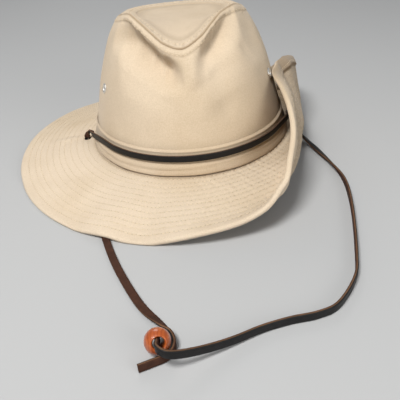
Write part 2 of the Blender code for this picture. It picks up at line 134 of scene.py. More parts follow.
# Folds that the pinch has left in the wall: from one angle and height share to another, with how deep and
# how wide each is in metres. A fold with a depth below zero stands proud.
Crease = namedtuple("Crease", "angle height to_angle to_height depth width")
CREASES = (
    Crease(-46, 0.83, -4, 0.79, 0.0016, 0.0036),
    Crease(-40, 0.70, -9, 0.66, -0.0008, 0.0050),
    Crease(-44, 0.72, -38, 0.45, -0.0005, 0.0090),
    Crease(9, 0.86, 26, 0.935, 0.0007, 0.0026),
    Crease(15, 0.74, 24, 0.68, 0.0007, 0.0060),
    Crease(30, 0.92, 36, 0.80, 0.0010, 0.0030),
    Crease(36, 0.80, 47, 0.64, 0.0010, 0.0040),
    Crease(47, 0.64, 58, 0.50, 0.0006, 0.0055),
    Crease(2, 0.66, 4, 0.30, -0.0006, 0.0120),
    Crease(18, 0.52, 24, 0.40, 0.0005, 0.0090),
    Crease(-84, 0.62, -60, 0.46, 0.0005, 0.0080),
    Crease(70, 0.40, 88, 0.30, 0.0005, 0.0080),
    Crease(120, 0.70, 150, 0.55, 0.0006, 0.0100),
    Crease(-150, 0.66, -120, 0.50, 0.0006, 0.0100),
)

# How far from its middle a fold has died out, in its own half lengths, and how near the seam the dents fade
CREASE_RUN_OUT = 1.6
DENT_FADE = 0.05


def eased(rows, column, angle):
    """A column's values at these angles, on a cyclic monotone cubic through the rows."""
    knots = np.array([row.angle for row in rows], float)
    values = np.array([getattr(row, column) for row in rows], float)
    spans = np.diff(knots, append=knots[0] + 360.0)
    after = np.diff(values, append=values[0]) / spans
    before = np.roll(after, 1)
    both = before * after > 0
    slopes = np.divide(2 * before * after, before + after, out=np.zeros(len(rows)), where=both)
    angle = (np.asarray(angle, float) + 180.0) % 360.0 - 180.0
    start = np.searchsorted(knots, angle, "right") - 1
    end = (start + 1) % len(rows)
    t = (angle - knots[start]) / spans[start]
    return (
        values[start] * (2 * t**3 - 3 * t**2 + 1)
        + spans[start] * slopes[start] * (t**3 - 2 * t**2 + t)
        + values[end] * (3 * t**2 - 2 * t**3)
        + spans[start] * slopes[end] * (t**3 - t**2)
    )


def smooth_step(x):
    x = np.clip(x, 0.0, 1.0)
    return x * x * (3 - 2 * x)


def hollow(x):
    """A soft bump, 1 in the middle and 0 at -1 and 1."""
    return np.clip(1 - x * x, 0.0, None) ** 2


def angle_between(angle, middle):
    return (angle - middle + 180.0) % 360.0 - 180.0


def oval(angle, half_width, half_length):
    turn = np.radians(angle)
    return np.stack([half_width * np.sin(turn), -half_length * np.cos(turn), 0.0 * turn], -1)


def unit(vectors):
    return vectors / np.linalg.norm(vectors, axis=-1, keepdims=True)


def outward(angle):
    return unit(oval(angle, 1 / CROWN_HALF_WIDTH, 1 / CROWN_HALF_LENGTH))


def seam_point(angle):
    """The seam between the crown's side and its top, from the foot's middle."""
    across, along, height = (eased(SEAM_ROWS, column, angle) for column in SeamRow._fields[1:])
    return np.stack([across * TIP_HALF_WIDTH, along * TIP_HALF_LENGTH, height * CROWN_HEIGHT], -1)


def soft_line(distance, width):
    """1 where the distance is 0, fading away within about two widths."""
    return np.exp(-((distance / width) ** 2))


def towards(middle, spread):
    """How near each column is to an angle: 1 at it, and 0 beyond its spread."""
    return hollow(angle_between(AROUND, middle) / spread)


def run_along(points):
    """How far along a line each of its points is."""
    return np.concatenate([[0.0], np.cumsum(np.linalg.norm(np.diff(points, axis=0), axis=1))])


def spots(rows, angle, share):
    """The sum of soft round spots, each with its middle, its depth and its half sizes."""
    depth = 0.0
    for spot in rows:
        around = hollow(angle_between(angle, spot.angle) / spot.half_angle)
        depth = depth + spot.depth * around * hollow((share - spot.height) / spot.half_height)
    return depth


def crease_depth(angle, share):
    """How deep the folds press the wall: each is deepest along its own line and dies out past its ends."""
    depth = 0.0
    around, up = CROWN_HALF_WIDTH * math.radians(1.0), CROWN_HEIGHT
    for crease in CREASES:
        run = np.array([(crease.to_angle - crease.angle) * around, (crease.to_height - crease.height) * up])
        off_x = angle_between(angle, crease.angle) * around
        off_y = (share - crease.height) * up
        way = (off_x * run[0] + off_y * run[1]) / (run @ run)
        near = np.clip(way, 0.0, 1.0)
        distance = np.hypot(off_x - near * run[0], off_y - near * run[1])
        ends = hollow((way * 2 - 1) / CREASE_RUN_OUT)
        depth = depth + crease.depth * ends * soft_line(distance, crease.width)
    return depth


def wall_point(angle, share):
    """The crown's side, share 0 at its foot and 1 at the seam, with its dents and folds pressed in. It leans
    in more and more towards the top, and rolls over just below the seam."""
    angle, share = np.broadcast_arrays(np.asarray(angle, float), np.asarray(share, float))
    foot = oval(angle, CROWN_HALF_WIDTH, CROWN_HALF_LENGTH)
    top = seam_point(angle)
    way = np.maximum(share, 0.0)
    lean = 0.80 * way**1.45 + 0.20 * way**10
    point = foot + (top - foot) * lean[..., None]
    point[..., 2] = top[..., 2] * share
    pressed = spots(DENTS, angle, share) * PINCH_DEPTH + crease_depth(angle, share)
    inward = pressed * smooth_step((1.0 - share) / DENT_FADE)
    return CENTRE + point - outward(angle) * inward[..., None]


def wall_at_height(angle, height):
    """The crown's side at a height over its foot, and the directions out of it and up it."""
    share = height / seam_point(angle)[..., 2]
    up = unit(wall_point(angle, share + 0.02) - wall_point(angle, share - 0.02))
    along = unit(wall_point(angle + 1.0, share) - wall_point(angle - 1.0, share))
    return wall_point(angle, share), unit(np.cross(along, up)), up


def facing(surface):
    """The direction square to a surface at each of its points, out of the hat where its rows run up. Its
    columns go round the hat, the first one repeated last."""
    along = np.empty_like(surface)
    along[1:-1] = surface[2:] - surface[:-2]
    along[0] = along[-1] = surface[1] - surface[-2]
    return unit(np.cross(along, np.gradient(surface, axis=1)))


def rows_between(knots):
    """Places from the first knot to the last, with as many steps after each knot as it says."""
    spans = []
    for (start, steps), (end, _) in zip(knots, knots[1:]):
        spans.append(np.linspace(start, end, steps, endpoint=False))
    return np.array([*np.concatenate(spans), knots[-1][0]])


def both_faces(outer, inner, *edge):
    """Rows that run up a cloth's outer face, over its edge and back down its inner face."""
    return np.concatenate([outer, *edge, inner[:, ::-1]], 1)


def cloth_mesh(name, sections, cut, closed=True):
    """A mesh of sections set round the hat, the first one repeated last. The cut gives each point's place on
    the flat cloth in metres, which the weave follows."""
    columns, rows = sections.shape[0] - 1, sections.shape[1]
    if closed:
        cut = np.concatenate([cut, cut[:, :1]], 1)
    column, row = np.meshgrid(np.arange(columns), np.arange(cut.shape[1] - 1), indexing="ij")
    corners = [(column, row), (column + 1, row), (column + 1, row + 1), (column, row + 1)]
    faces = np.stack([(across % columns) * rows + up % rows for across, up in corners], -1).reshape(-1, 4)
    mesh = bpy.data.meshes.new(name)
    mesh.from_pydata(sections[:-1].reshape(-1, 3).tolist(), [], faces.tolist())
    places = np.stack([cut[across, up] for across, up in corners], 2).reshape(-1)
    mesh.uv_layers.new(name="cloth").data.foreach_set("uv", places.astype(np.float32))
    mesh.shade_smooth()
    return mesh


def marked(mesh, name, amount):
    """Stores an amount at each point of a mesh, which its material reads by that name."""
    values = amount.astype(np.float32).reshape(-1)
    mesh.attributes.new(name, "FLOAT", "POINT").data.foreach_set("value", values)


def placed(name, data):
    """A new object with that mesh, lamp or lens, put in the scene."""
    made = bpy.data.objects.new(name, data)
    bpy.context.collection.objects.link(made)
    return made


# Turned seams: how deep the cloth rolls into one, how deep its stitches pull, how wide both lines are, how
# soon the edge sewn down under it rises and ends as a step, and how far the seam presses the cloth thin
SEAM_ROLL = 0.0010
STITCH_PULL = 0.00022
SEAM_LINE = 0.0006
STEP_RISE = 0.0008
STEP_END = 0.0014
SEAM_PRESS = 0.003


def sewn_down(distance, width, rise):
    """A turned seam: cloth rolled into it, with the edge sewn down under it as a low step."""
    roll = -SEAM_ROLL * soft_line(distance, SEAM_LINE)
    step = rise * smooth_step(distance / STEP_RISE) * (1 - smooth_step((distance - width) / STEP_END))
    return roll + step - STITCH_PULL * soft_line(distance - width + SEAM_LINE, SEAM_LINE)


def pressed_thin(distance, least):
    """The canvas's thickness, down to its least share in the seam itself."""
    return (CROWN_CANVAS * (least + (1 - least) * smooth_step(distance / SEAM_PRESS)))[..., None]


def puckers(run, distance, pitch, reach):
    """Small gathers along a row of stitches, out of step with each other, dying out away from it."""
    wave = np.sin(run * 2 * np.pi / pitch + 1.7 * np.sin(run * 37.0))
    wave = wave + 0.6 * np.sin(run * 2 * np.pi / (pitch * 1.63) + 2.1 * np.sin(run * 23.0))
    return wave * soft_line(distance, reach)


# The wall's own cloth: its sewn-down edge and the gathers along it, and how far it sags unevenly lower down
WALL_SEAM_WIDTH = 0.0042
WALL_SEAM_STEP = 0.0005
WALL_GATHERS = 0.00020
WALL_GATHER_PITCH = 0.0058
WALL_GATHER_REACH = 0.0030
WALL_SLACK = 0.00035
SLACK_FADE = 0.02

seam_line = seam_point(AROUND[:, 0])
seam_run = run_along(seam_line)[:, None]
wall_shares = rows_between(((0.0, 56), (0.90, 27), (1.0, 0)))[None, :]
wall_height = seam_line[:, 2:]
wall_foot = 2 * GAP / wall_height
wall_face = wall_point(AROUND, wall_foot + wall_shares * (1 - wall_foot))
wall_out = facing(wall_face)
to_seam = (1 - wall_shares) * wall_height
sway = np.sin(np.radians(AROUND * 5) + wall_shares * 7)
slack = WALL_SLACK * sway * np.sin(wall_shares * 9 + 2 * np.sin(np.radians(AROUND * 3)))
gathers = puckers(seam_run, to_seam - WALL_SEAM_WIDTH, WALL_GATHER_PITCH, WALL_GATHER_REACH)
relief = sewn_down(to_seam, WALL_SEAM_WIDTH, WALL_SEAM_STEP) + slack * smooth_step(to_seam / SLACK_FADE)
wall_outer = wall_face + wall_out * (relief + WALL_GATHERS * gathers)[..., None]
wall_inner = wall_outer - wall_out * pressed_thin(to_seam, 0.35)
wall_cut = np.stack(np.broadcast_arrays(np.radians(AROUND) * MEAN_RADIUS, wall_shares * wall_height), -1)
wall_mesh = cloth_mesh("crown_side_cloth", both_faces(wall_outer, wall_inner), both_faces(wall_cut, wall_cut))


def finish(name, roughness, gloss=0.5):
    """A new material of that roughness and gloss, with its node tree and its shader."""
    material = bpy.data.materials.new(name)
    material.use_nodes = True
    shader = material.node_tree.nodes["Principled BSDF"]
    shader.inputs["Roughness"].default_value = roughness
    shader.inputs["Specular IOR Level"].default_value = gloss
    return material, material.node_tree, shader


def reckoned(tree, operation, *values):
    """The result of one sum on sockets and plain numbers."""
    node = tree.nodes.new("ShaderNodeMath")
    node.operation = operation
    for socket, value in zip(node.inputs, values):
        if isinstance(value, float):
            socket.default_value = value
        else:
            tree.links.new(value, socket)
    return node.outputs[0]


def ranged(tree, value, low, high, least=0.0, most=1.0):
    """What runs from least to most while the value runs from low to high."""
    span = tree.nodes.new("ShaderNodeMapRange")
    for label, number in (("From Min", low), ("From Max", high), ("To Min", least), ("To Max", most)):
        span.inputs[label].default_value = number
    tree.links.new(value, span.inputs["Value"])
    return span.outputs["Result"]


def stretched(tree, place, scale, turn=(0.0, 0.0, 0.0)):
    """A place turned, and stretched by a scale along each axis."""
    mapping = tree.nodes.new("ShaderNodeMapping")
    mapping.inputs["Rotation"].default_value = turn
    mapping.inputs["Scale"].default_value = scale
    tree.links.new(place, mapping.inputs["Vector"])
    return mapping.outputs["Vector"]


def on_piece(tree):
    """The place on the piece, in metres."""
    return tree.nodes.new("ShaderNodeTexCoord").outputs["Object"]


def noise(tree, scale, detail=4.0, place=None):
    """Cloudy noise, so many waves to the metre, over the piece or over another place."""
    cloud = tree.nodes.new("ShaderNodeTexNoise")
    cloud.inputs["Scale"].default_value = scale
    cloud.inputs["Detail"].default_value = detail
    tree.links.new(on_piece(tree) if place is None else place, cloud.inputs["Vector"])
    return cloud.outputs["Fac"]


def stored(tree, name):
    """The amount that the mesh stores by that name."""
    attribute = tree.nodes.new("ShaderNodeAttribute")
    attribute.attribute_name = name
    return attribute.outputs["Fac"]


def tinted(tree, factor, low, high, colour, stain):
    """A colour, or what a node gives, with a stain mixed in where the factor runs from low to high."""
    mix = tree.nodes.new("ShaderNodeMix")
    mix.data_type = "RGBA"
    mix.blend_type = "MULTIPLY"
    tree.links.new(ranged(tree, factor, low, high), mix.inputs["Factor"])
    if isinstance(colour, tuple):
        mix.inputs["A"].default_value = (*colour, 1.0)
    else:
        tree.links.new(colour, mix.inputs["A"])
    mix.inputs["B"].default_value = (*stain, 1.0)
    return mix.outputs["Result"]


def bumped(tree, height, strength, distance, over=None):
    """The way that a surface faces with that height pressed into it, over an earlier one if it is given."""
    bump = tree.nodes.new("ShaderNodeBump")
    bump.inputs["Strength"].default_value = strength
    bump.inputs["Distance"].default_value = distance
    tree.links.new(height, bump.inputs["Height"])
    if over is not None:
        tree.links.new(over, bump.inputs["Normal"])
    return bump.outputs["Normal"]


# Canvas: the pitch of its threads, how many slubs there are to the metre across and along a thread, how
# high they stand beside the threads, how much painted shade and soil is the most, and the colour that the
# most of them gives
WEAVE_PITCH = 0.00062
SLUBS_ACROSS = 1 / WEAVE_PITCH / 1.5
SLUBS_ALONG = 45.0
SLUB_HEIGHT = 0.9
MOST_SHADE_AND_SOIL = 1.7
SHADE_AND_SOIL_COLOUR = (0.34, 0.28, 0.20)


def weave(tree):
    """The canvas weave on the cloth's own cut: threads over and under each other, some thicker than others.
    Gives the height of the threads and the streaks that the thicker ones make."""
    cloth = tree.nodes.new("ShaderNodeUVMap")
    cloth.uv_map = "cloth"
    place = tree.nodes.new("ShaderNodeSeparateXYZ")
    tree.links.new(cloth.outputs["UV"], place.inputs[0])
    waves = 2 * math.pi / WEAVE_PITCH
    turns = [reckoned(tree, "MULTIPLY", place.outputs[axis], waves) for axis in ("X", "Y")]
    crossing = reckoned(tree, "MULTIPLY", *(reckoned(tree, "SINE", turn) for turn in turns))
    scales = ((SLUBS_ACROSS, SLUBS_ALONG, 1.0), (SLUBS_ALONG, SLUBS_ACROSS, 1.0))
    places = [stretched(tree, cloth.outputs["UV"], scale) for scale in scales]
    slubs = reckoned(tree, "ADD", *(noise(tree, 1.0, 2.0, streak) for streak in places))
    return reckoned(tree, "MULTIPLY_ADD", slubs, SLUB_HEIGHT, crossing), slubs


def canvas(name, colour):
    """Cotton canvas: woven threads with slubs, faded unevenly, and darkened by as much painted shade and soil
    as its mesh stores.
    """
    material, tree, shader = finish(name, 0.92, 0.18)
    shader.inputs["Sheen Weight"].default_value = 0.12
    shader.inputs["Sheen Roughness"].default_value = 0.6
    threads, slubs = weave(tree)
    shade = tinted(tree, slubs, 0.75, 1.45, colour, (0.97, 0.965, 0.96))
    shade = tinted(tree, noise(tree, 1100.0, 2.0), 0.35, 0.70, shade, (0.90, 0.885, 0.86))
    shade = tinted(tree, noise(tree, 34.0), 0.45, 0.85, shade, (0.92, 0.90, 0.87))
    shade = tinted(tree, noise(tree, 9.0, 2.0), 0.45, 0.75, shade, (0.93, 0.90, 0.83))
    # Painted shade and soil: the colour darkens towards a deep brown as much as the mesh stores
    shade = tinted(tree, stored(tree, "soil"), 0.0, MOST_SHADE_AND_SOIL, shade, SHADE_AND_SOIL_COLOUR)
    tree.links.new(shade, shader.inputs["Base Color"])
    woven = bumped(tree, threads, 0.30, 0.00012)
    tree.links.new(bumped(tree, noise(tree, 120.0), 0.25, 0.0010, woven), shader.inputs["Normal"])
    return material


# Painted shade in the pinch dents and below the right one, with some soil from the fingers that pinch the
# hat, each spot's strength being its depth
Mark = namedtuple("Mark", Dent._fields)
SHADE_AND_SOIL_MARKS = (
    Mark(13, 0.52, 0.30, 9, 0.16),
    Mark(-30, 0.88, 0.75, 42, 0.085),
    Mark(22, 0.89, 0.35, 20, 0.09),
)
BAND_TOP = 0.020

# Painted shade on the wall: a dark line in the seam's groove, a fainter one beside the sewn-down step, and a
# line where the band's top meets the wall
seam_shade = 1.1 * soft_line(to_seam, 0.0010) + 0.40 * soft_line(to_seam - WALL_SEAM_WIDTH, 0.0008)
band_top_shade = 0.22 * soft_line(wall_height * wall_shares - BAND_TOP, 0.004)
wall_shade_and_soil = seam_shade + band_top_shade + spots(SHADE_AND_SOIL_MARKS, AROUND, wall_shares)
marked(wall_mesh, "soil", both_faces(wall_shade_and_soil, wall_shade_and_soil)[:-1])
crown_canvas = canvas("crown_canvas", (0.655, 0.530, 0.385))
wall_mesh.materials.append(crown_canvas)
crown_side = placed("crown_side_cloth", wall_mesh)

# Crown top: a teardrop panel of the same canvas, sewn to the side all round. The seam's edges are turned
# towards the panel and sewn down under it, so a gathered border runs along the seam.
TipRow = namedtuple("TipRow", "along height")
TIP_ROWS = (
    TipRow(-1.00, 0.790),
    TipRow(-0.68, 0.840),
    TipRow(-0.34, 0.873),
    TipRow(0.00, 0.882),
    TipRow(0.40, 0.873),
    TipRow(0.80, 0.873),
    TipRow(1.00, 0.882),
)
TIP_SEAM_WIDTH = 0.0115
TIP_SEAM_STEP = 0.0009
TIP_STITCH_ROW = 0.0060
TIP_GATHERS = 0.00022
TIP_GATHERS_AT = 0.0042
TIP_GATHER_PITCH = 0.0062
TIP_GATHER_REACH = 0.0032
SEAM_FLANGE = 0.0020
MIDDLE_EASE = 0.008


def middle_height(along):
    """The height of the panel's middle line, which runs from the front to the back."""
    places = [row.along * TIP_HALF_LENGTH for row in TIP_ROWS]
    heights = [row.height * CROWN_HEIGHT for row in TIP_ROWS]
    shifts = np.linspace(-MIDDLE_EASE, MIDDLE_EASE, 9)
    return sum(np.interp(along + shift, places, heights) for shift in shifts) / len(shifts)


def tip_point(angle, share):
    """The crown's top, share 0 in its middle and 1 at the seam."""
    rim = seam_point(angle)
    place = rim * share[..., None]
    rise = rim[..., 2] - middle_height(rim[..., 1])
    place[..., 2] = middle_height(place[..., 1]) + rise * share**2.4
    return CENTRE + place


tip_shares = rows_between(((0.0, 22), (0.78, 35), (1.0, 0)))[None, :]
tip_face = tip_point(AROUND, tip_shares)
tip_out = -facing(tip_face)
tip_out[:, 0] = (0.0, 0.0, 1.0)
to_rim = (1 - tip_shares) * np.linalg.norm(seam_line[:, :2], axis=1)[:, None]
tip_gathers = puckers(seam_run, to_rim - TIP_GATHERS_AT, TIP_GATHER_PITCH, TIP_GATHER_REACH)
tip_relief = sewn_down(to_rim, TIP_SEAM_WIDTH, TIP_SEAM_STEP) + TIP_GATHERS * tip_gathers
tip_outer = tip_face + tip_out * tip_relief[..., None]
tip_inner = tip_outer - tip_out * pressed_thin(to_rim, 0.4)
flange = tip_inner[:, -1:] - np.array([0.0, 0.0, SEAM_FLANGE])
tip_cut = seam_line[:, None, :2] * tip_shares[..., None]
tip_mesh = cloth_mesh(
    "crown_tip_cloth",
    both_faces(tip_outer, tip_inner, flange)[:, ::-1],
    both_faces(tip_cut, tip_cut, tip_cut[:, -1:])[:, ::-1],
    closed=False,
)
# Painted shade on the top: a dark line in the seam's groove, a soft band of shade just inside the sewn-down
# border, darker hollows between the gathers, and the middle a little darker than the border
tip_shade = 1.4 * soft_line(to_rim, 0.0008) + 0.36 * hollow((to_rim - TIP_SEAM_WIDTH - 0.003) / 0.009)
tip_shade = tip_shade + 0.22 * np.clip(-tip_gathers, 0, 1)
tip_shade = tip_shade + 0.12 * smooth_step((to_rim - TIP_SEAM_WIDTH) / 0.002)
marked(tip_mesh, "soil", both_faces(tip_shade, tip_shade, tip_shade[:, -1:])[:-1, ::-1])
poles = bmesh.new()
poles.from_mesh(tip_mesh)
bmesh.ops.remove_doubles(poles, verts=poles.verts, dist=1e-7)
poles.to_mesh(tip_mesh)
poles.free()
tip_mesh.materials.append(crown_canvas)
crown_tip = placed("crown_tip_cloth", tip_mesh)
for piece, node in ((crown_side, "crown_side"), (crown_tip, "crown_tip")):
    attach(piece, "root")
    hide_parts(node)

# Brim: two layers of canvas stiffened by rows of lock stitch, with its outer edge turned under as a hem.
# The right side is snapped up against the crown, and the front and the back come down to the floor.
BRIM_WIDTH = 0.0725
BRIM_CANVAS = 0.0022
BRIM_TUCK = 0.003
FLOOR_EASE = 0.0004
HEM = 0.0105
HEM_LINE = BRIM_WIDTH - HEM
HEM_ROW = 0.0650
ROW_PITCH = 0.0055
ROW_COUNT = 12
BrimRow = namedtuple("BrimRow", "angle root_slope body_slope hem_slope fold_at fold_span")
BRIM_ROWS = (
    BrimRow(-180, -10, -15, -15, 0.10, 0.80),
    BrimRow(-155, -10, -15, -15, 0.10, 0.80),
    BrimRow(-125, -6, -10, -10, 0.10, 0.80),
    BrimRow(-100, -5, -8, -8, 0.10, 0.80),
    BrimRow(-80, -6, -9, -9, 0.10, 0.80),
    BrimRow(-58, -10, -14, -14, 0.10, 0.80),
    BrimRow(-40, -10, -15, -15, 0.10, 0.80),
    BrimRow(-25, -7, -9, -9, 0.10, 0.80),
    BrimRow(-16, -10, -13, -13, 0.20, 0.70),
    BrimRow(-9, -7, -9, -9, 0.20, 0.70),
    BrimRow(0, -5, 0, 2, 0.50, 0.40),
    BrimRow(8, -3, 9, 12, 0.62, 0.30),
    BrimRow(14, -1, 24, 31, 0.66, 0.25),
    BrimRow(20, 1, 58, 70, 0.665, 0.20),
    BrimRow(25, 2, 77, 87, 0.55, 0.21),
    BrimRow(30, 3, 89, 98, 0.47, 0.22),
    BrimRow(40, 4, 101, 119, 0.32, 0.22),
    BrimRow(50, 4, 106, 144, 0.195, 0.24),
    BrimRow(62, 5, 112, 156, 0.12, 0.24),
    BrimRow(72, 5, 117, 146, 0.11, 0.24),
    BrimRow(80, 6, 117, 122, 0.105, 0.24),
    BrimRow(90, 5, 105, 160, 0.12, 0.24),
    BrimRow(100, 4, 103, 146, 0.19, 0.26),
    BrimRow(112, 3, 99, 120, 0.33, 0.26),
    BrimRow(121, 3, 94, 102, 0.46, 0.24),
    BrimRow(130, 1, 86, 92, 0.56, 0.22),
    BrimRow(138, -2, 66, 72, 0.64, 0.22),
    BrimRow(147, -7, 22, 28, 0.70, 0.22),
    BrimRow(155, -10, -12, -12, 0.40, 0.50),
    BrimRow(163, -10, -14, -14, 0.20, 0.70),
)


def brim_point(angle, reach):
    """The brim's top face that far along its cloth from the crown, for a column of angles and a row of
    reaches. The floor holds the cloth up where it would hang below it."""
    fine = np.linspace(0.0, BRIM_WIDTH * 1.05, 420)
    middles = (fine[1:] + fine[:-1]) / 2
    root, body, hem, fold_at, fold_span = (eased(BRIM_ROWS, column, angle) for column in BrimRow._fields[1:])
    slope = root + (body - root) * smooth_step((middles / BRIM_WIDTH - fold_at) / fold_span)
    slope = np.radians(slope + (hem - body) * smooth_step((middles - BRIM_WIDTH) / HEM + 1.25))
    place = np.clip(reach, 0.0, None) / fine[1]
    before = place.astype(int)
    part = place - before
    out, rise = (np.cumsum(run(slope), 1) * fine[1] for run in (np.cos, np.sin))
    out, rise = (np.concatenate([0 * run[:, :1], run], 1) for run in (out, rise))
    out, rise = (run[:, before] * (1 - part) + run[:, before + 1] * part for run in (out, rise))
    out = out + np.minimum(reach, 0.0)
    edge = oval(angle, CROWN_HALF_WIDTH, CROWN_HALF_LENGTH)
    point = CENTRE + edge + outward(angle) * out[..., None]
    over = (point[..., 2] + rise - GAP - BRIM_CANVAS) / FLOOR_EASE
    point[..., 2] = BRIM_CANVAS + FLOOR_EASE * np.logaddexp(0.0, over)
    return point


def brim_at(angle, reach):
    """One place on the brim's top face, and the direction out of it."""
    beside = np.array([-1.0, 0.0, 1.0])
    near = brim_point(angle + beside[:, None], reach + 0.001 * beside)
    return near[1, 1], unit(np.cross(near[2, 1] - near[0, 1], near[1, 2] - near[1, 0]) * -1.0)


# Relief of the sewn cloth: how deep the rows lie, how far it swells between them, flat and where it was
# eased in, its puckers and how far they shift from row to row, and a low fold at the left
ROW_DEPTH = 0.00012
FLAT_SWELL = 0.00008
EASED_SWELL = 0.00026
CHANNEL_WIDTH = 0.0011
EASED_PUCKERS = 0.00036
PUCKER_PITCH = 0.0054
PUCKER_REACH = 0.0023
PUCKER_SHIFT = 0.0131
SIDE_FOLD = 0.0008

# Hem and edge: the hem's step on the two faces and how sharp it is, the fine strip of the mesh beside it,
# how far inside it its shadow lies, how much the edge is rounded and how far down it lies, and where the
# band's foot touches the brim
HEM_STEP_OVER = 0.00015
HEM_STEP_UNDER = 0.0013
HEM_SHARPNESS = 0.0005
HEM_STRIP = 0.0007
HEM_SHADOW = 0.0006
EDGE_ROUND = 0.0006
EDGE_STRIP = 0.0007
EDGE_DOWN = 0.55 * BRIM_CANVAS + 0.0003
EDGE_LOWEST = 0.0008
BAND_REACH = 0.0035

brim_reach = rows_between((
    (-BRIM_TUCK, 5),
    (BAND_REACH, 50),
    (HEM_LINE - HEM_STRIP, 4),
    (HEM_LINE + HEM_STRIP, 9),
    (BRIM_WIDTH - EDGE_STRIP, 0),
))
brim_top = brim_point(AROUND, brim_reach)
brim_up = -facing(brim_top)
row_place = (HEM_ROW - brim_reach) / ROW_PITCH
nearest_row = np.clip(np.round(row_place), 0, ROW_COUNT - 1)
from_row = (row_place - nearest_row) * ROW_PITCH
brim_run = np.radians(AROUND) * (MEAN_RADIUS + brim_reach) + nearest_row * PUCKER_SHIFT
eased_in = 0.12 + 0.88 * towards(45, 90)
channels = (FLAT_SWELL + EASED_SWELL * eased_in) * (1 - soft_line(from_row, CHANNEL_WIDTH)) - ROW_DEPTH
channels = channels + EASED_PUCKERS * eased_in * puckers(brim_run, from_row, PUCKER_PITCH, PUCKER_REACH)
side_fold = soft_line(angle_between(AROUND, -90), 2.2) - 0.7 * soft_line(angle_between(AROUND, -94), 2.6)
channels = channels + SIDE_FOLD * side_fold * hollow((brim_reach - 0.030) / 0.024)
turned_hem = smooth_step((brim_reach - HEM_LINE) / HEM_SHARPNESS)
edge_round = EDGE_ROUND * soft_line(BRIM_WIDTH - brim_reach, 2 * EDGE_ROUND)
over = channels + HEM_STEP_OVER * turned_hem - edge_round
under = BRIM_CANVAS + channels + HEM_STEP_UNDER * turned_hem - edge_round
brim_upper = brim_top + brim_up * over[..., None]
brim_lower = brim_top - brim_up * under[..., None]
brim_edge = brim_point(AROUND, np.array([BRIM_WIDTH])) - brim_up[:, -1:] * EDGE_DOWN
brim_lower[..., 2] = np.maximum(brim_lower[..., 2], 0.0)
brim_edge[..., 2] = np.maximum(brim_edge[..., 2], EDGE_LOWEST)
turn = np.radians(AROUND)
brim_cut = np.stack([np.sin(turn), np.cos(turn)], -1) * (MEAN_RADIUS + brim_reach)[None, :, None]
brim_mesh = cloth_mesh(
    "brim_cloth",
    both_faces(brim_upper, brim_lower, brim_edge)[:, ::-1],
    both_faces(brim_cut, brim_cut, brim_cut[:, -1:])[:, ::-1],
)
# Painted shade on the brim's top: darker lines along the stitch rows where the cloth is eased in, and deep
# shade inside the fold of the turned-up side
row_shade = 0.38 * eased_in * soft_line(from_row, 0.0007)
band_shadow = 0.35 * soft_line(np.clip(brim_reach, 0, None), 0.006)
band_shadow = band_shadow + 0.6 * soft_line(brim_reach - BAND_REACH, 0.0009)
in_fold_shade = np.clip(1.4 * towards(98, 72), 0, 1) * smooth_step((brim_reach - 0.004) / 0.012)
top_shade = row_shade + band_shadow + 1.5 * in_fold_shade
# Painted shade on the brim's underside: all of it darker, darker still along the hem where the side is turned
# up, and a shadow under the hem's step
underside_shade = (0.75 + 0.45 * row_shade) * (1 - turned_hem) + 1.3 * towards(90, 60) * turned_hem
underside_shade = underside_shade + 1.6 * soft_line(brim_reach - HEM_LINE + HEM_SHADOW, 0.0010)
marked(brim_mesh, "soil", both_faces(top_shade, underside_shade, row_shade[:, -1:])[:-1, ::-1])
brim_mesh.materials.append(canvas("brim_canvas", (0.685, 0.565, 0.425)))
brim = placed("brim_cloth", brim_mesh)

# Lace holes: punched through both layers of the brim, one at each side next to the band.
LACE_HOLE = 0.0066
LACE_HOLE_REACH = 0.0110
LACE_HOLE_ANGLE = 87.0


def baked(piece):
    """The piece with its modifiers made part of a plain mesh."""
    made = bpy.data.meshes.new_from_object(piece.evaluated_get(bpy.context.evaluated_depsgraph_get()))
    piece.modifiers.clear()
    piece.data = made


def bored(piece, diameter, length, frame, sides=24):
    """Bores a round hole through the piece along the z axis of the frame."""
    mesh = bpy.data.meshes.new("hole")
    shape = bmesh.new()
    bmesh.ops.create_cone(
        shape, cap_ends=True, segments=sides, radius1=diameter / 2, radius2=diameter / 2, depth=length,
        matrix=frame
    )
    shape.to_mesh(mesh)
    shape.free()
    cutter = placed("hole", mesh)
    cut = piece.modifiers.new("hole", "BOOLEAN")
    cut.operation = "DIFFERENCE"
    cut.solver = "EXACT"
    cut.object = cutter
    baked(piece)
    bpy.data.objects.remove(cutter)


def turned(direction, point):
    """The frame whose z axis is that direction, at that point."""
    return Matrix.Translation(Vector(point)) @ Vector(direction).to_track_quat("Z", "Y").to_matrix().to_4x4()


for side in (-1, 1):
    hole, up = brim_at(side * LACE_HOLE_ANGLE, LACE_HOLE_REACH)
    bored(brim, LACE_HOLE, 4 * BRIM_CANVAS, turned(up, hole))
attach(brim, "root")
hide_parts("brim")

# Stitches: lock stitch in cotton thread, a shade paler than the canvas. Each stitch is a short thread that
# dips into the cloth at both ends; rows run round the brim on both faces, and beside the crown's seams.
STITCH_PITCH = 0.0031
STITCH_LENGTH = 0.0027
THREAD = 0.00046
STITCH_SEED = 4


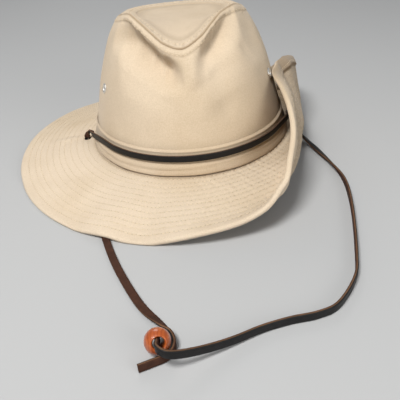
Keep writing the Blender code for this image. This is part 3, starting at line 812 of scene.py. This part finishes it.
def stitch_tree():
    """Lays a thread across each step of the lines that it is given, facing the way that the lines store."""
    tree = bpy.data.node_groups.new("running_stitch", "GeometryNodeTree")
    sockets = tree.interface
    sockets.new_socket("Geometry", in_out="INPUT", socket_type="NodeSocketGeometry")
    for label, value in (("Pitch", STITCH_PITCH), ("Stitch Length", STITCH_LENGTH), ("Thread", THREAD)):
        sockets.new_socket(label, in_out="INPUT", socket_type="NodeSocketFloat").default_value = value
    sockets.new_socket("Seed", in_out="INPUT", socket_type="NodeSocketInt").default_value = STITCH_SEED
    sockets.new_socket("Material", in_out="INPUT", socket_type="NodeSocketMaterial")
    sockets.new_socket("Geometry", in_out="OUTPUT", socket_type="NodeSocketGeometry")
    nodes, links = tree.nodes, tree.links
    given = nodes.new("NodeGroupInput")
    line = nodes.new("GeometryNodeMeshToCurve")
    steps = nodes.new("GeometryNodeResampleCurve")
    steps.mode = "LENGTH"
    thread = nodes.new("GeometryNodeMeshUVSphere")
    thread.inputs["Segments"].default_value = 6
    thread.inputs["Rings"].default_value = 3
    thread.inputs["Radius"].default_value = 0.5
    size = nodes.new("ShaderNodeCombineXYZ")
    shaped = nodes.new("GeometryNodeTransform")
    along = nodes.new("GeometryNodeInputTangent")
    facing_way = nodes.new("GeometryNodeInputNamedAttribute")
    facing_way.data_type = "FLOAT_VECTOR"
    facing_way.inputs["Name"].default_value = "facing"
    axes = nodes.new("FunctionNodeAxesToRotation")
    axes.primary_axis = "X"
    axes.secondary_axis = "Z"
    uneven = nodes.new("FunctionNodeRandomValue")
    uneven.data_type = "FLOAT_VECTOR"
    uneven.inputs["Min"].default_value = (0.86, 0.85, 0.75)
    uneven.inputs["Max"].default_value = (1.05, 1.10, 1.15)
    placed_on = nodes.new("GeometryNodeInstanceOnPoints")
    real = nodes.new("GeometryNodeRealizeInstances")
    smooth = nodes.new("GeometryNodeSetShadeSmooth")
    dyed = nodes.new("GeometryNodeSetMaterial")
    result = nodes.new("NodeGroupOutput")
    for source, output, target, socket in (
        (given, "Geometry", line, "Mesh"),
        (line, "Curve", steps, "Curve"),
        (given, "Pitch", steps, "Length"),
        (given, "Stitch Length", size, "X"),
        (given, "Thread", size, "Y"),
        (given, "Thread", size, "Z"),
        (thread, "Mesh", shaped, "Geometry"),
        (size, "Vector", shaped, "Scale"),
        (along, "Tangent", axes, "Primary Axis"),
        (facing_way, "Attribute", axes, "Secondary Axis"),
        (given, "Seed", uneven, "Seed"),
        (steps, "Curve", placed_on, "Points"),
        (shaped, "Geometry", placed_on, "Instance"),
        (axes, "Rotation", placed_on, "Rotation"),
        (uneven, "Value", placed_on, "Scale"),
        (placed_on, "Instances", real, "Geometry"),
        (real, "Geometry", smooth, "Geometry"),
        (smooth, "Geometry", dyed, "Geometry"),
        (given, "Material", dyed, "Material"),
        (dyed, "Geometry", result, "Geometry"),
    ):
        links.new(source.outputs[output], target.inputs[socket])
    return tree


def cotton_thread(name, colour):
    """Twisted cotton thread, dull and slightly uneven in colour."""
    material, tree, shader = finish(name, 0.8, 0.25)
    shade = tinted(tree, noise(tree, 300.0), 0.40, 0.70, colour, (0.80, 0.76, 0.70))
    tree.links.new(shade, shader.inputs["Base Color"])
    tree.links.new(bumped(tree, noise(tree, 2500.0, 1.0), 0.3, 0.0001), shader.inputs["Normal"])
    return material


running_stitch = stitch_tree()
sewing_thread = cotton_thread("sewing_thread", (0.740, 0.610, 0.430))


def half_a_stitch_on(points, ways):
    """The same ring of points and ways, started half a stitch further along."""
    ring, looped = (np.concatenate([line, line[:1]]) for line in (points, ways))
    run = run_along(ring)
    wanted = (run[:-1] + run[-1] / (run[-1] // STITCH_PITCH) / 2) % run[-1]
    return [
        np.stack([np.interp(wanted, run, line[:, axis]) for axis in range(3)], -1) for line in (ring, looped)
    ]


def sewn(name, rows, length=STITCH_LENGTH, thread=THREAD, material=sewing_thread):
    """A piece of stitches along closed rows of points, each with the directions that its points face."""
    line = bmesh.new()
    facing_layer = line.verts.layers.float_vector.new("facing")
    for points, ways in rows:
        verts = [line.verts.new(point) for point in points]
        for vert, way in zip(verts, ways):
            vert[facing_layer] = way
        for start, end in zip(verts, verts[1:] + verts[:1]):
            line.edges.new((start, end))
    mesh = bpy.data.meshes.new(name)
    line.to_mesh(mesh)
    line.free()
    piece = placed(name, mesh)
    sewing = piece.modifiers.new("stitches", "NODES")
    sewing.node_group = running_stitch
    values = {
        "Pitch": STITCH_PITCH, "Stitch Length": length, "Thread": thread,
        "Seed": STITCH_SEED, "Material": material
    }
    for socket in running_stitch.interface.items_tree:
        if socket.in_out == "INPUT" and socket.name in values:
            sewing[socket.identifier] = values[socket.name]
    baked(piece)
    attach(piece, "root")


def stitch_row(surface, out, distance, wanted, lift):
    """A row through the surface's points nearest to the wanted distance, lifted just clear of the cloth."""
    at = np.argmin(np.abs(np.broadcast_to(distance, out.shape[:2]) - wanted), axis=1)[:-1]
    columns = np.arange(len(at))
    return surface[columns, at] + out[columns, at] * lift, out[columns, at]


# Needle holes: tiny dark dots of thread between the stitches, painted shade standing in for the holes' shadow
NEEDLE_SHADE_DOT = 0.0007
needle_hole = cotton_thread("needle_hole", (0.320, 0.240, 0.155))


def shaded_needle_holes(name, rows):
    """Dark thread dots between the stitches of these rows: painted shade for the holes that the needle has
    left.
    """
    holes = [half_a_stitch_on(points, ways) for points, ways in rows]
    sewn(name, holes, length=NEEDLE_SHADE_DOT, thread=NEEDLE_SHADE_DOT / 2, material=needle_hole)


stitch_reaches = [HEM_ROW - i * ROW_PITCH for i in range(ROW_COUNT)]
top_rows = [stitch_row(brim_upper, brim_up, brim_reach, reach, 0.00006) for reach in stitch_reaches]
under_rows = [stitch_row(brim_lower, -brim_up, brim_reach, reach, 0.0) for reach in stitch_reaches]
crown_rows = [
    stitch_row(wall_outer, wall_out, to_seam, WALL_SEAM_WIDTH, 0.00004),
    stitch_row(tip_outer, tip_out, to_rim, TIP_STITCH_ROW, 0.00004),
]
sewn("brim_stitches_top", top_rows)
sewn("brim_stitches_under", under_rows)
shaded_needle_holes("brim_needle_holes", top_rows)
sewn("crown_stitches", crown_rows)
shaded_needle_holes("crown_needle_holes", crown_rows)

# Hat band: a strip of canvas folded over on itself and sewn round the foot of the crown. Its top edge is a
# narrow welt; below it the lace lies in a groove, and two soft folds hang over its lower edge.
BAND_FOOT = 0.0006
BAND_HEIGHT = 0.019
BAND_THICKNESS = 0.0040
BandRow = namedtuple("BandRow", "stand_off height")
BAND_ROWS = (
    BandRow(0.20, 0.02),
    BandRow(0.82, 0.00),
    BandRow(1.00, 0.05),
    BandRow(0.90, 0.20),
    BandRow(0.78, 0.34),
    BandRow(0.54, 0.46),
    BandRow(0.42, 0.54),
    BandRow(0.40, 0.86),
    BandRow(0.50, 0.94),
    BandRow(0.38, 1.00),
    BandRow(0.20, 0.97),
)
BAND_STEPS = 6


def smooth_line(points, steps, closed=False):
    """Points of a smooth line through the given ones, with as many steps between each two."""
    points = np.array(points, float)
    if closed:
        through = np.concatenate([points[-1:], points, points[:2]])
    else:
        through = np.concatenate([[points[0] * 2 - points[1]], points, [points[-1] * 2 - points[-2]]])
    made = []
    for before, start, end, after in zip(through, through[1:], through[2:], through[3:]):
        for t in np.arange(steps) / steps:
            made.append(
                (start * 2 + (end - before) * t + (before * 2 - start * 5 + end * 4 - after) * t**2
                 + (start * 3 - before - end * 3 + after) * t**3) / 2
            )
    return np.array(made if closed else [*made, points[-1]])


# Below the lace the folds hang loose: how far they wave in and out and up and down, and how deep the crease
# between them is, as shares of the band's thickness and height
FOLD_WAVE = 0.05
FOLD_SWAY = 0.012
FOLD_CREASE = 0.09
FOLD_CREASE_AT = 0.25

band_profile = smooth_line([(row.stand_off, row.height) for row in BAND_ROWS], BAND_STEPS, closed=True)
stand_off, band_level = band_profile[None, :, 0], band_profile[None, :, 1]
loose = np.radians(AROUND)
below_lace = 1 - smooth_step((band_level - 0.40) / 0.12)
wave = np.sin(loose * 7 + band_level * 6) + 0.6 * np.sin(loose * 17 + 1)
crease = soft_line(band_level - FOLD_CREASE_AT - 0.05 * np.sin(loose * 3), 0.06)
stand_off = stand_off + FOLD_WAVE * below_lace * wave - FOLD_CREASE * crease * below_lace
stand_off = np.maximum(stand_off, BAND_ROWS[0].stand_off)
band_level = band_level + FOLD_SWAY * np.sin(loose * 5 + 0.7) * below_lace
band_wall, band_out, _ = wall_at_height(AROUND, BAND_FOOT + band_level * BAND_HEIGHT)
band = band_wall + band_out * (GAP + (stand_off - BAND_ROWS[0].stand_off) * BAND_THICKNESS)[..., None]
band_length = run_along(band[COLUMNS // 2])
band_radius = MEAN_RADIUS + 0.75 * BAND_THICKNESS
band_cut = np.stack(np.broadcast_arrays(loose * band_radius, band_length[None, :]), -1)
band_mesh = cloth_mesh("hat_band_cloth", band[:, ::-1], band_cut[:, ::-1])
# Painted shade on the band: in the crease between the folds, under the lace, under the top welt, along the
# lower edge, and over the folds at the right side beside the turned-up brim
band_cloth_shade = 0.16 * soft_line(band_level - FOLD_CREASE_AT, 0.045) + 0.4 * soft_line(band_level - 0.50, 0.04)
band_cloth_shade = band_cloth_shade + 0.7 * (1 - smooth_step((band_level + 0.01) / 0.05))
band_cloth_shade = band_cloth_shade + 0.35 * hollow((band_level - 0.88) / 0.03) + 0.85 * below_lace * towards(70, 75)
marked(band_mesh, "soil", np.clip(band_cloth_shade, 0, 1)[:-1, ::-1])
band_mesh.materials.append(canvas("band_canvas", (0.600, 0.480, 0.345)))
hat_band = placed("hat_band_cloth", band_mesh)
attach(hat_band, "root")
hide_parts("hat_band")

# Eyelets: one nickel-plated ring in each side of the crown. The barrel is pushed through the canvas and
# rolled over inside, so the face is a rounded rim round a small hole.
EYELET_HEIGHT = 0.054
EYELET_ANGLE = 64.0
EYELET_DIAMETER = 0.0085
EYELET_BORE = 0.0044
EYELET_METAL = 0.0007
EYELET_BACK = 0.85


def nickel(name, colour, roughness):
    """Plated metal, handled until it is finely scratched and a little dull in patches."""
    material, tree, shader = finish(name, roughness)
    shader.inputs["Metallic"].default_value = 1.0
    shade = tinted(tree, noise(tree, 500.0), 0.45, 0.75, colour, (0.72, 0.66, 0.56))
    tree.links.new(shade, shader.inputs["Base Color"])
    dull = ranged(tree, noise(tree, 900.0), 0.0, 1.0, roughness, roughness + 0.25)
    tree.links.new(dull, shader.inputs["Roughness"])
    tree.links.new(bumped(tree, noise(tree, 2000.0), 0.15, 0.0001), shader.inputs["Normal"])
    return material


def turned_piece(name, profile, place, material, sides=48):
    """A closed ring turned from (radius, height) points, run down its outer side."""
    turn = np.radians(np.arange(sides + 1) * 360.0 / sides)[:, None]
    radius, height = np.array(profile).T
    sections = np.stack([radius * np.cos(turn), radius * np.sin(turn), height + 0 * turn], -1)
    mesh = cloth_mesh(name, sections, sections[..., :2])
    mesh.transform(place)
    mesh.materials.append(material)
    piece = placed(name, mesh)
    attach(piece, "root")
    return piece


eyelet_metal = nickel("eyelet_metal", (0.92, 0.90, 0.86), 0.34)
for side, name in ((-1, "eyelet_left"), (1, "eyelet_right")):
    wall, out, _ = wall_at_height(side * EYELET_ANGLE, EYELET_HEIGHT)
    place = turned(out, wall)
    barrel, flange, back = EYELET_BORE / 2 + EYELET_METAL, EYELET_DIAMETER / 2, -CROWN_CANVAS - GAP
    bored(crown_side, 2 * (barrel + GAP), 6 * CROWN_CANVAS, place, sides=32)
    rim = EYELET_METAL / 3
    profile = (
        (EYELET_BORE / 2, back * 0.5),
        (EYELET_BORE / 2, GAP),
        (EYELET_BORE / 2 + 0.0002, GAP + EYELET_METAL * 0.75),
        (barrel, GAP + EYELET_METAL * 1.15),
        (barrel + 0.0006, GAP + EYELET_METAL * 1.15),
        (flange - 0.0004, GAP + EYELET_METAL * 0.75),
        (flange, GAP + rim),
        (flange - 0.0001, GAP),
        (barrel, GAP),
        (barrel, back),
        (flange * EYELET_BACK, back),
        (flange * EYELET_BACK, back - rim),
        (barrel + 0.0004, back - EYELET_METAL),
        (EYELET_BORE / 2 + 0.0001, back - EYELET_METAL * 0.7),
    )
    eyelet = turned_piece(name + "_ring", smooth_line(profile, 3, closed=True)[::-1], place, eyelet_metal)
    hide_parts(name)

# Snap: the press stud between the crown and the turned-up brim. Nothing of it shows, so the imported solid
# stays as it is, in a plated metal a little darker than the eyelets'.
snap = frame["nodes"]["snap"]
snap.data.materials.clear()
snap.data.materials.append(nickel("snap_metal", (0.74, 0.72, 0.66), 0.30))

# Lace on the band: a strip cut from dark grain leather, lying in the band's groove with its grain outwards.
# At each side it comes down over the folds and goes through a hole in the brim.
LACE_WIDTH = 0.005
LACE_THICKNESS = 0.0018
LACE_CORNER = 0.0004
LACE_FLAT = 0.0011
LACE_STEPS = 8
LaceRow = namedtuple("LaceRow", "angle height lift")
LACE_ROWS = (
    LaceRow(85, 0.28, 0.95),
    LaceRow(79, 0.36, 0.65),
    LaceRow(72, 0.50, 0.30),
    LaceRow(64, 0.64, 0.08),
)
LACE_RISE = 0.002
LACE_ARCH = 0.0018
GROOVE_HEIGHT = 0.70
GROOVE_STAND_OFF = (0.42 - BAND_ROWS[0].stand_off) * BAND_THICKNESS

# Colours of the lace's grain, of its cut edges and of its suede, in the order that its attribute runs
LACE_COLOURS = (
    (0.20, (0.008, 0.0075, 0.0075, 1.0)),
    (0.36, (0.110, 0.060, 0.032, 1.0)),
    (0.64, (0.130, 0.066, 0.034, 1.0)),
    (0.80, (0.050, 0.020, 0.011, 1.0)),
)


def lace_leather(name):
    """Lace leather: dull black grain on one face, raw tan cut edges and brown suede on the other face, as the
    lace's own attribute says, 0 to 1."""
    material, tree, shader = finish(name, 0.5, 0.25)
    suede = stored(tree, "suede")
    faces = tree.nodes.new("ShaderNodeValToRGB")
    stops = faces.color_ramp.elements
    stops[0].position, stops[1].position = LACE_COLOURS[0][0], LACE_COLOURS[-1][0]
    for position, _ in LACE_COLOURS[1:-1]:
        stops.new(position)
    for stop, (_, colour) in zip(stops, LACE_COLOURS):
        stop.color = colour
    tree.links.new(suede, faces.inputs["Fac"])
    shade = tinted(tree, noise(tree, 260.0), 0.45, 0.75, faces.outputs["Color"], (1.5, 1.45, 1.4))
    shade = tinted(tree, noise(tree, 60.0), 0.45, 0.80, shade, (0.70, 0.68, 0.66))
    tree.links.new(shade, shader.inputs["Base Color"])
    tree.links.new(ranged(tree, suede, 0.2, 0.4, 0.5, 0.9), shader.inputs["Roughness"])
    pores = tree.nodes.new("ShaderNodeTexVoronoi")
    pores.inputs["Scale"].default_value = 1500.0
    tree.links.new(on_piece(tree), pores.inputs["Vector"])
    tree.links.new(bumped(tree, pores.outputs["Distance"], 0.35, 0.0002), shader.inputs["Normal"])
    return material


def cut_lace(name, route, material, grain_side):
    """A flat lace along points of (x, y, z, tilt): on its edge at tilt 0, flat at 90. The grain side is 1
    where the grain faces right of the way along the route at tilt 0, and -1 where it faces left."""
    points, tilt = route[:, :3], np.radians(route[:, 3:])
    way = unit(np.gradient(points, axis=0))
    aside = unit(np.cross(way, [0.0, 0.0, 1.0]))
    upright = np.cross(aside, way)
    across = upright * np.cos(tilt) + aside * np.sin(tilt)
    through = aside * np.cos(tilt) - upright * np.sin(tilt)
    half_width, half_thick = LACE_WIDTH / 2, LACE_THICKNESS / 2
    turn = np.radians([15, 45, 75])
    rounded = np.stack([np.cos(turn), np.sin(turn)], -1)
    corner = np.array([half_width, half_thick]) - LACE_CORNER * (1 - rounded)
    flat = [(LACE_FLAT, half_thick), (-LACE_FLAT, half_thick)]
    top = np.array([*corner, *flat, *(corner[::-1] * (-1, 1))])
    profile = np.concatenate([top, -top])
    suede = (1 - grain_side * profile[:, 1] / half_thick) / 2
    sections = points[:, None] + across[:, None] * profile[:, :1] + through[:, None] * profile[:, 1:]
    count, last = len(profile), (len(points) - 1) * len(profile)
    faces = [
        (at + k, at + (k + 1) % count, at + count + (k + 1) % count, at + count + k)
        for at in range(0, last, count) for k in range(count)
    ]
    faces += [tuple(reversed(range(count))), tuple(last + k for k in range(count))]
    mesh = bpy.data.meshes.new(name)
    mesh.from_pydata(sections.reshape(-1, 3).tolist(), [], faces)
    marked(mesh, "suede", np.broadcast_to(suede, (len(points), count)))
    mesh.shade_smooth()
    mesh.materials.append(material)
    piece = placed(name, mesh)
    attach(piece, "root")
    return piece


def groove_point(angle, height=GROOVE_HEIGHT, lift=0.0):
    wall, out, _ = wall_at_height(angle, BAND_FOOT + height * BAND_HEIGHT)
    return wall + out * (3 * GAP + GROOVE_STAND_OFF + lift * BAND_THICKNESS + LACE_THICKNESS / 2)


def lace_end(side):
    """From under the hole up over the band's folds to the groove."""
    hole, up = brim_at(side * LACE_HOLE_ANGLE, LACE_HOLE_REACH)
    first = LACE_ROWS[0]
    beside = groove_point(side * LACE_HOLE_ANGLE, first.height, first.lift)
    arch = hole + (beside - hole) * 0.45 + up * LACE_ARCH
    rows = [groove_point(side * row.angle, row.height, row.lift) for row in LACE_ROWS]
    return [hole - up * BRIM_CANVAS, hole + up * LACE_RISE, arch, *rows]


leather = lace_leather("lace_leather")
in_groove = [groove_point(angle) for angle in np.linspace(-57.0, 57.0, 14)]
front_route = [*lace_end(-1), *in_groove, *reversed(lace_end(1))]
twist = [170.0, 160.0, 120.0, 55.0, 15.0]
twist = [*twist, *[0.0] * (len(front_route) - 2 * len(twist)), *[-turn for turn in reversed(twist)]]
front_route = smooth_line([(*point, turn) for point, turn in zip(front_route, twist)], LACE_STEPS)
lace_front = cut_lace("lace_front_leather", front_route, leather, 1)
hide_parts("lace_front")

# Chin lace, left strand: the same lace below the brim. It lies on the floor with its suede up as far as the
# bead, turns round the bead's right side under the other strand, and ends cut off bare.
LEFT_ROUTE = (
    (-0.0740, -0.0058, 0.0114, 0),
    (-0.0738, -0.0059, 0.0099, 0),
    (-0.0732, -0.0066, 0.0082, 0),
    (-0.0729, -0.0090, 0.0066, 0),
    (-0.0724, -0.0140, 0.0052, 10),
    (-0.0715, -0.0220, 0.0039, 30),
    (-0.0700, -0.0360, 0.0022, 65),
    (-0.0653, -0.0600, 0.0011, 90),
    (-0.0573, -0.1100, 0.0010, 90),
    (-0.0463, -0.1540, 0.0010, 90),
    (-0.0353, -0.1890, 0.0010, 90),
    (-0.0203, -0.2240, 0.0011, 90),
    (-0.0083, -0.2420, 0.0021, 50),
    (-0.0032, -0.2495, 0.0026, 10),
    (-0.0013, -0.2550, 0.0026, 0),
    (-0.0012, -0.2595, 0.0026, 0),
    (-0.0031, -0.2642, 0.0026, 0),
    (-0.0072, -0.2669, 0.0026, 0),
    (-0.0125, -0.2688, 0.0026, 0),
    (-0.0193, -0.2712, 0.0026, 0),
)


left_route = smooth_line(LEFT_ROUTE, LACE_STEPS)
chin_lace_left = cut_lace("chin_lace_left_leather", left_route, leather, 1)
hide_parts("chin_lace_left")

# Bead: a turned hardwood ball, drilled through and varnished, which slides along the lace to tighten it.
# Both mouths of its bore are rounded, so that they don't cut into the lace.
BEAD_DIAMETER = 0.014
BEAD_BORE = 0.0064
BEAD_CENTRE = (-0.0093, -0.2590)
BEAD_TURN = 12.0
BEAD_TILT = 32.0
MOUTH_ROUND = 0.0006


def varnished_wood(name, colour):
    """Reddish hardwood under varnish: fine rings across the ball, and darker patches over them."""
    material, tree, shader = finish(name, 0.38)
    shader.inputs["Coat Weight"].default_value = 0.7
    shader.inputs["Coat Roughness"].default_value = 0.12
    rings = tree.nodes.new("ShaderNodeTexWave")
    rings.bands_direction = "X"
    for label, value in (("Scale", 190.0), ("Distortion", 3.0), ("Detail", 3.0), ("Detail Scale", 2.0)):
        rings.inputs[label].default_value = value
    tree.links.new(stretched(tree, on_piece(tree), (1.0, 1.0, 0.22), (0.5, 0.3, 0.2)), rings.inputs["Vector"])
    shade = tinted(tree, rings.outputs["Fac"], 0.35, 1.0, colour, (0.80, 0.70, 0.62))
    shade = tinted(tree, noise(tree, 160.0), 0.45, 0.75, shade, (0.75, 0.62, 0.50))
    tree.links.new(shade, shader.inputs["Base Color"])
    tree.links.new(bumped(tree, rings.outputs["Fac"], 0.08, 0.0002), shader.inputs["Normal"])
    return material


bead_radius, bore_radius = BEAD_DIAMETER / 2, BEAD_BORE / 2
mouth = math.degrees(math.asin((bore_radius + MOUTH_ROUND) / bead_radius))
slope = np.radians(np.linspace(mouth, 180 - mouth, 40))
ball = bead_radius * np.stack([np.sin(slope), np.cos(slope)], -1)
ends = bead_radius * math.cos(math.radians(mouth)) - MOUTH_ROUND
bore = [(bore_radius, z) for z in np.linspace(-ends, ends, 8)]
bead_frame = Matrix.Translation((*BEAD_CENTRE, bead_radius))
bead_frame @= Matrix.Rotation(math.radians(BEAD_TURN), 4, "Z")
bead_frame @= Matrix.Rotation(math.radians(90 - BEAD_TILT), 4, "X")
bead_wood = varnished_wood("bead_wood", (0.440, 0.098, 0.016))
bead = turned_piece("bead_wood", [*ball, *bore], bead_frame, bead_wood, sides=72)
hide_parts("bead")

# Chin lace, right strand: it comes out from under the turned-up side, lies on its edge in one long curve,
# and climbs over the left strand into the bead.
RIGHT_ROUTE = (
    (0.1180, -0.0059, 0.0137, 0),
    (0.1184, -0.0060, 0.0122, 0),
    (0.1190, -0.0070, 0.0103, 0),
    (0.1196, -0.0095, 0.0086, 0),
    (0.1204, -0.0150, 0.0070, 15),
    (0.1220, -0.0250, 0.0052, 40),
    (0.1249, -0.0370, 0.0034, 65),
    (0.1287, -0.0520, 0.0022, 70),
    (0.1332, -0.0840, 0.0026, 35),
    (0.1337, -0.1140, 0.0026, 0),
    (0.1257, -0.1540, 0.0026, 0),
    (0.1117, -0.2030, 0.0026, 0),
    (0.1037, -0.2230, 0.0026, 0),
    (0.0887, -0.2420, 0.0026, 0),
    (0.0757, -0.2480, 0.0026, 0),
    (0.0607, -0.2500, 0.0026, 0),
    (0.0447, -0.2540, 0.0028, 0),
    (0.0287, -0.2610, 0.0040, 0),
    (0.0147, -0.2670, 0.0066, 0),
    (0.0027, -0.2715, 0.0098, 0),
    (-0.0043, -0.2725, 0.0118, 0),
    (-0.0088, -0.2690, 0.0122, 0),
    (-0.0093, -0.2640, 0.0102, 0),
    (-0.0093, -0.2590, 0.0070, 0),
    (-0.0093, -0.2535, 0.0036, 0),
)
right_route = smooth_line(RIGHT_ROUTE, LACE_STEPS)
chin_lace_right = cut_lace("chin_lace_right_leather", right_route, leather, -1)
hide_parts("chin_lace_right")

# Floor: a plain pale surface under soft light.
floor_mesh = bpy.data.meshes.new("floor")
floor_shape = bmesh.new()
bmesh.ops.create_grid(floor_shape, x_segments=2, y_segments=2, size=6.0)
floor_shape.to_mesh(floor_mesh)
floor_shape.free()
pale, _, pale_shader = finish("pale_floor", 0.85)
pale_shader.inputs["Base Color"].default_value = (0.44, 0.44, 0.435, 1.0)
floor_mesh.materials.append(pale)
floor = placed("floor", floor_mesh)
floor.location.z = -GAP

# Light: one large soft light above the front left, weaker ones at the right and behind, and an even pale sky.
LIGHT_TARGET = Vector((0.02, -0.02, 0.05))


def soft_light(name, place, size, watts):
    lamp = bpy.data.lights.new(name, "AREA")
    lamp.shape = "DISK"
    lamp.size = size
    lamp.energy = watts
    light = placed(name, lamp)
    light.location = place
    light.rotation_euler = (LIGHT_TARGET - Vector(place)).to_track_quat("-Z", "Y").to_euler()


soft_light("key", (-0.44, -0.80, 1.40), 0.6, 27.5)
soft_light("fill", (0.8, -1.1, 0.45), 0.8, 6.0)
soft_light("back", (-0.2, 1.4, 1.0), 0.8, 5.0)
sky = bpy.data.worlds.new("soft_sky")
bpy.context.scene.world = sky
sky.use_nodes = True
sky.node_tree.nodes["Background"].inputs["Color"].default_value = (0.93, 0.96, 1.0, 1.0)
sky.node_tree.nodes["Background"].inputs["Strength"].default_value = 0.24

# Camera: at the photograph's angle, a little above the hat in front of it, and held slightly turned.
CAMERA_PLACE = Vector((0.0138, -0.4404, 0.1949))
PITCH, AZIMUTH, ROLL = math.radians(30.8), math.radians(1.4), math.radians(5.0)
ahead = Vector((math.sin(AZIMUTH) * math.cos(PITCH), math.cos(AZIMUTH) * math.cos(PITCH), -math.sin(PITCH)))
level = Vector((math.cos(AZIMUTH), -math.sin(AZIMUTH), 0.0))
above = level.cross(ahead)
right_way = level * math.cos(ROLL) - above * math.sin(ROLL)
up_way = level * math.sin(ROLL) + above * math.cos(ROLL)
lens = bpy.data.cameras.new("camera")
lens.sensor_fit = "HORIZONTAL"
lens.sensor_width = 36.0
lens.lens = 45.0
lens.clip_start = 0.01
camera = placed("camera", lens)
turned_axes = Matrix((right_way, up_way, -ahead)).transposed().to_4x4()
camera.matrix_world = Matrix.Translation(CAMERA_PLACE) @ turned_axes
bpy.context.scene.camera = camera
bpy.context.scene.view_settings.view_transform = "Standard"
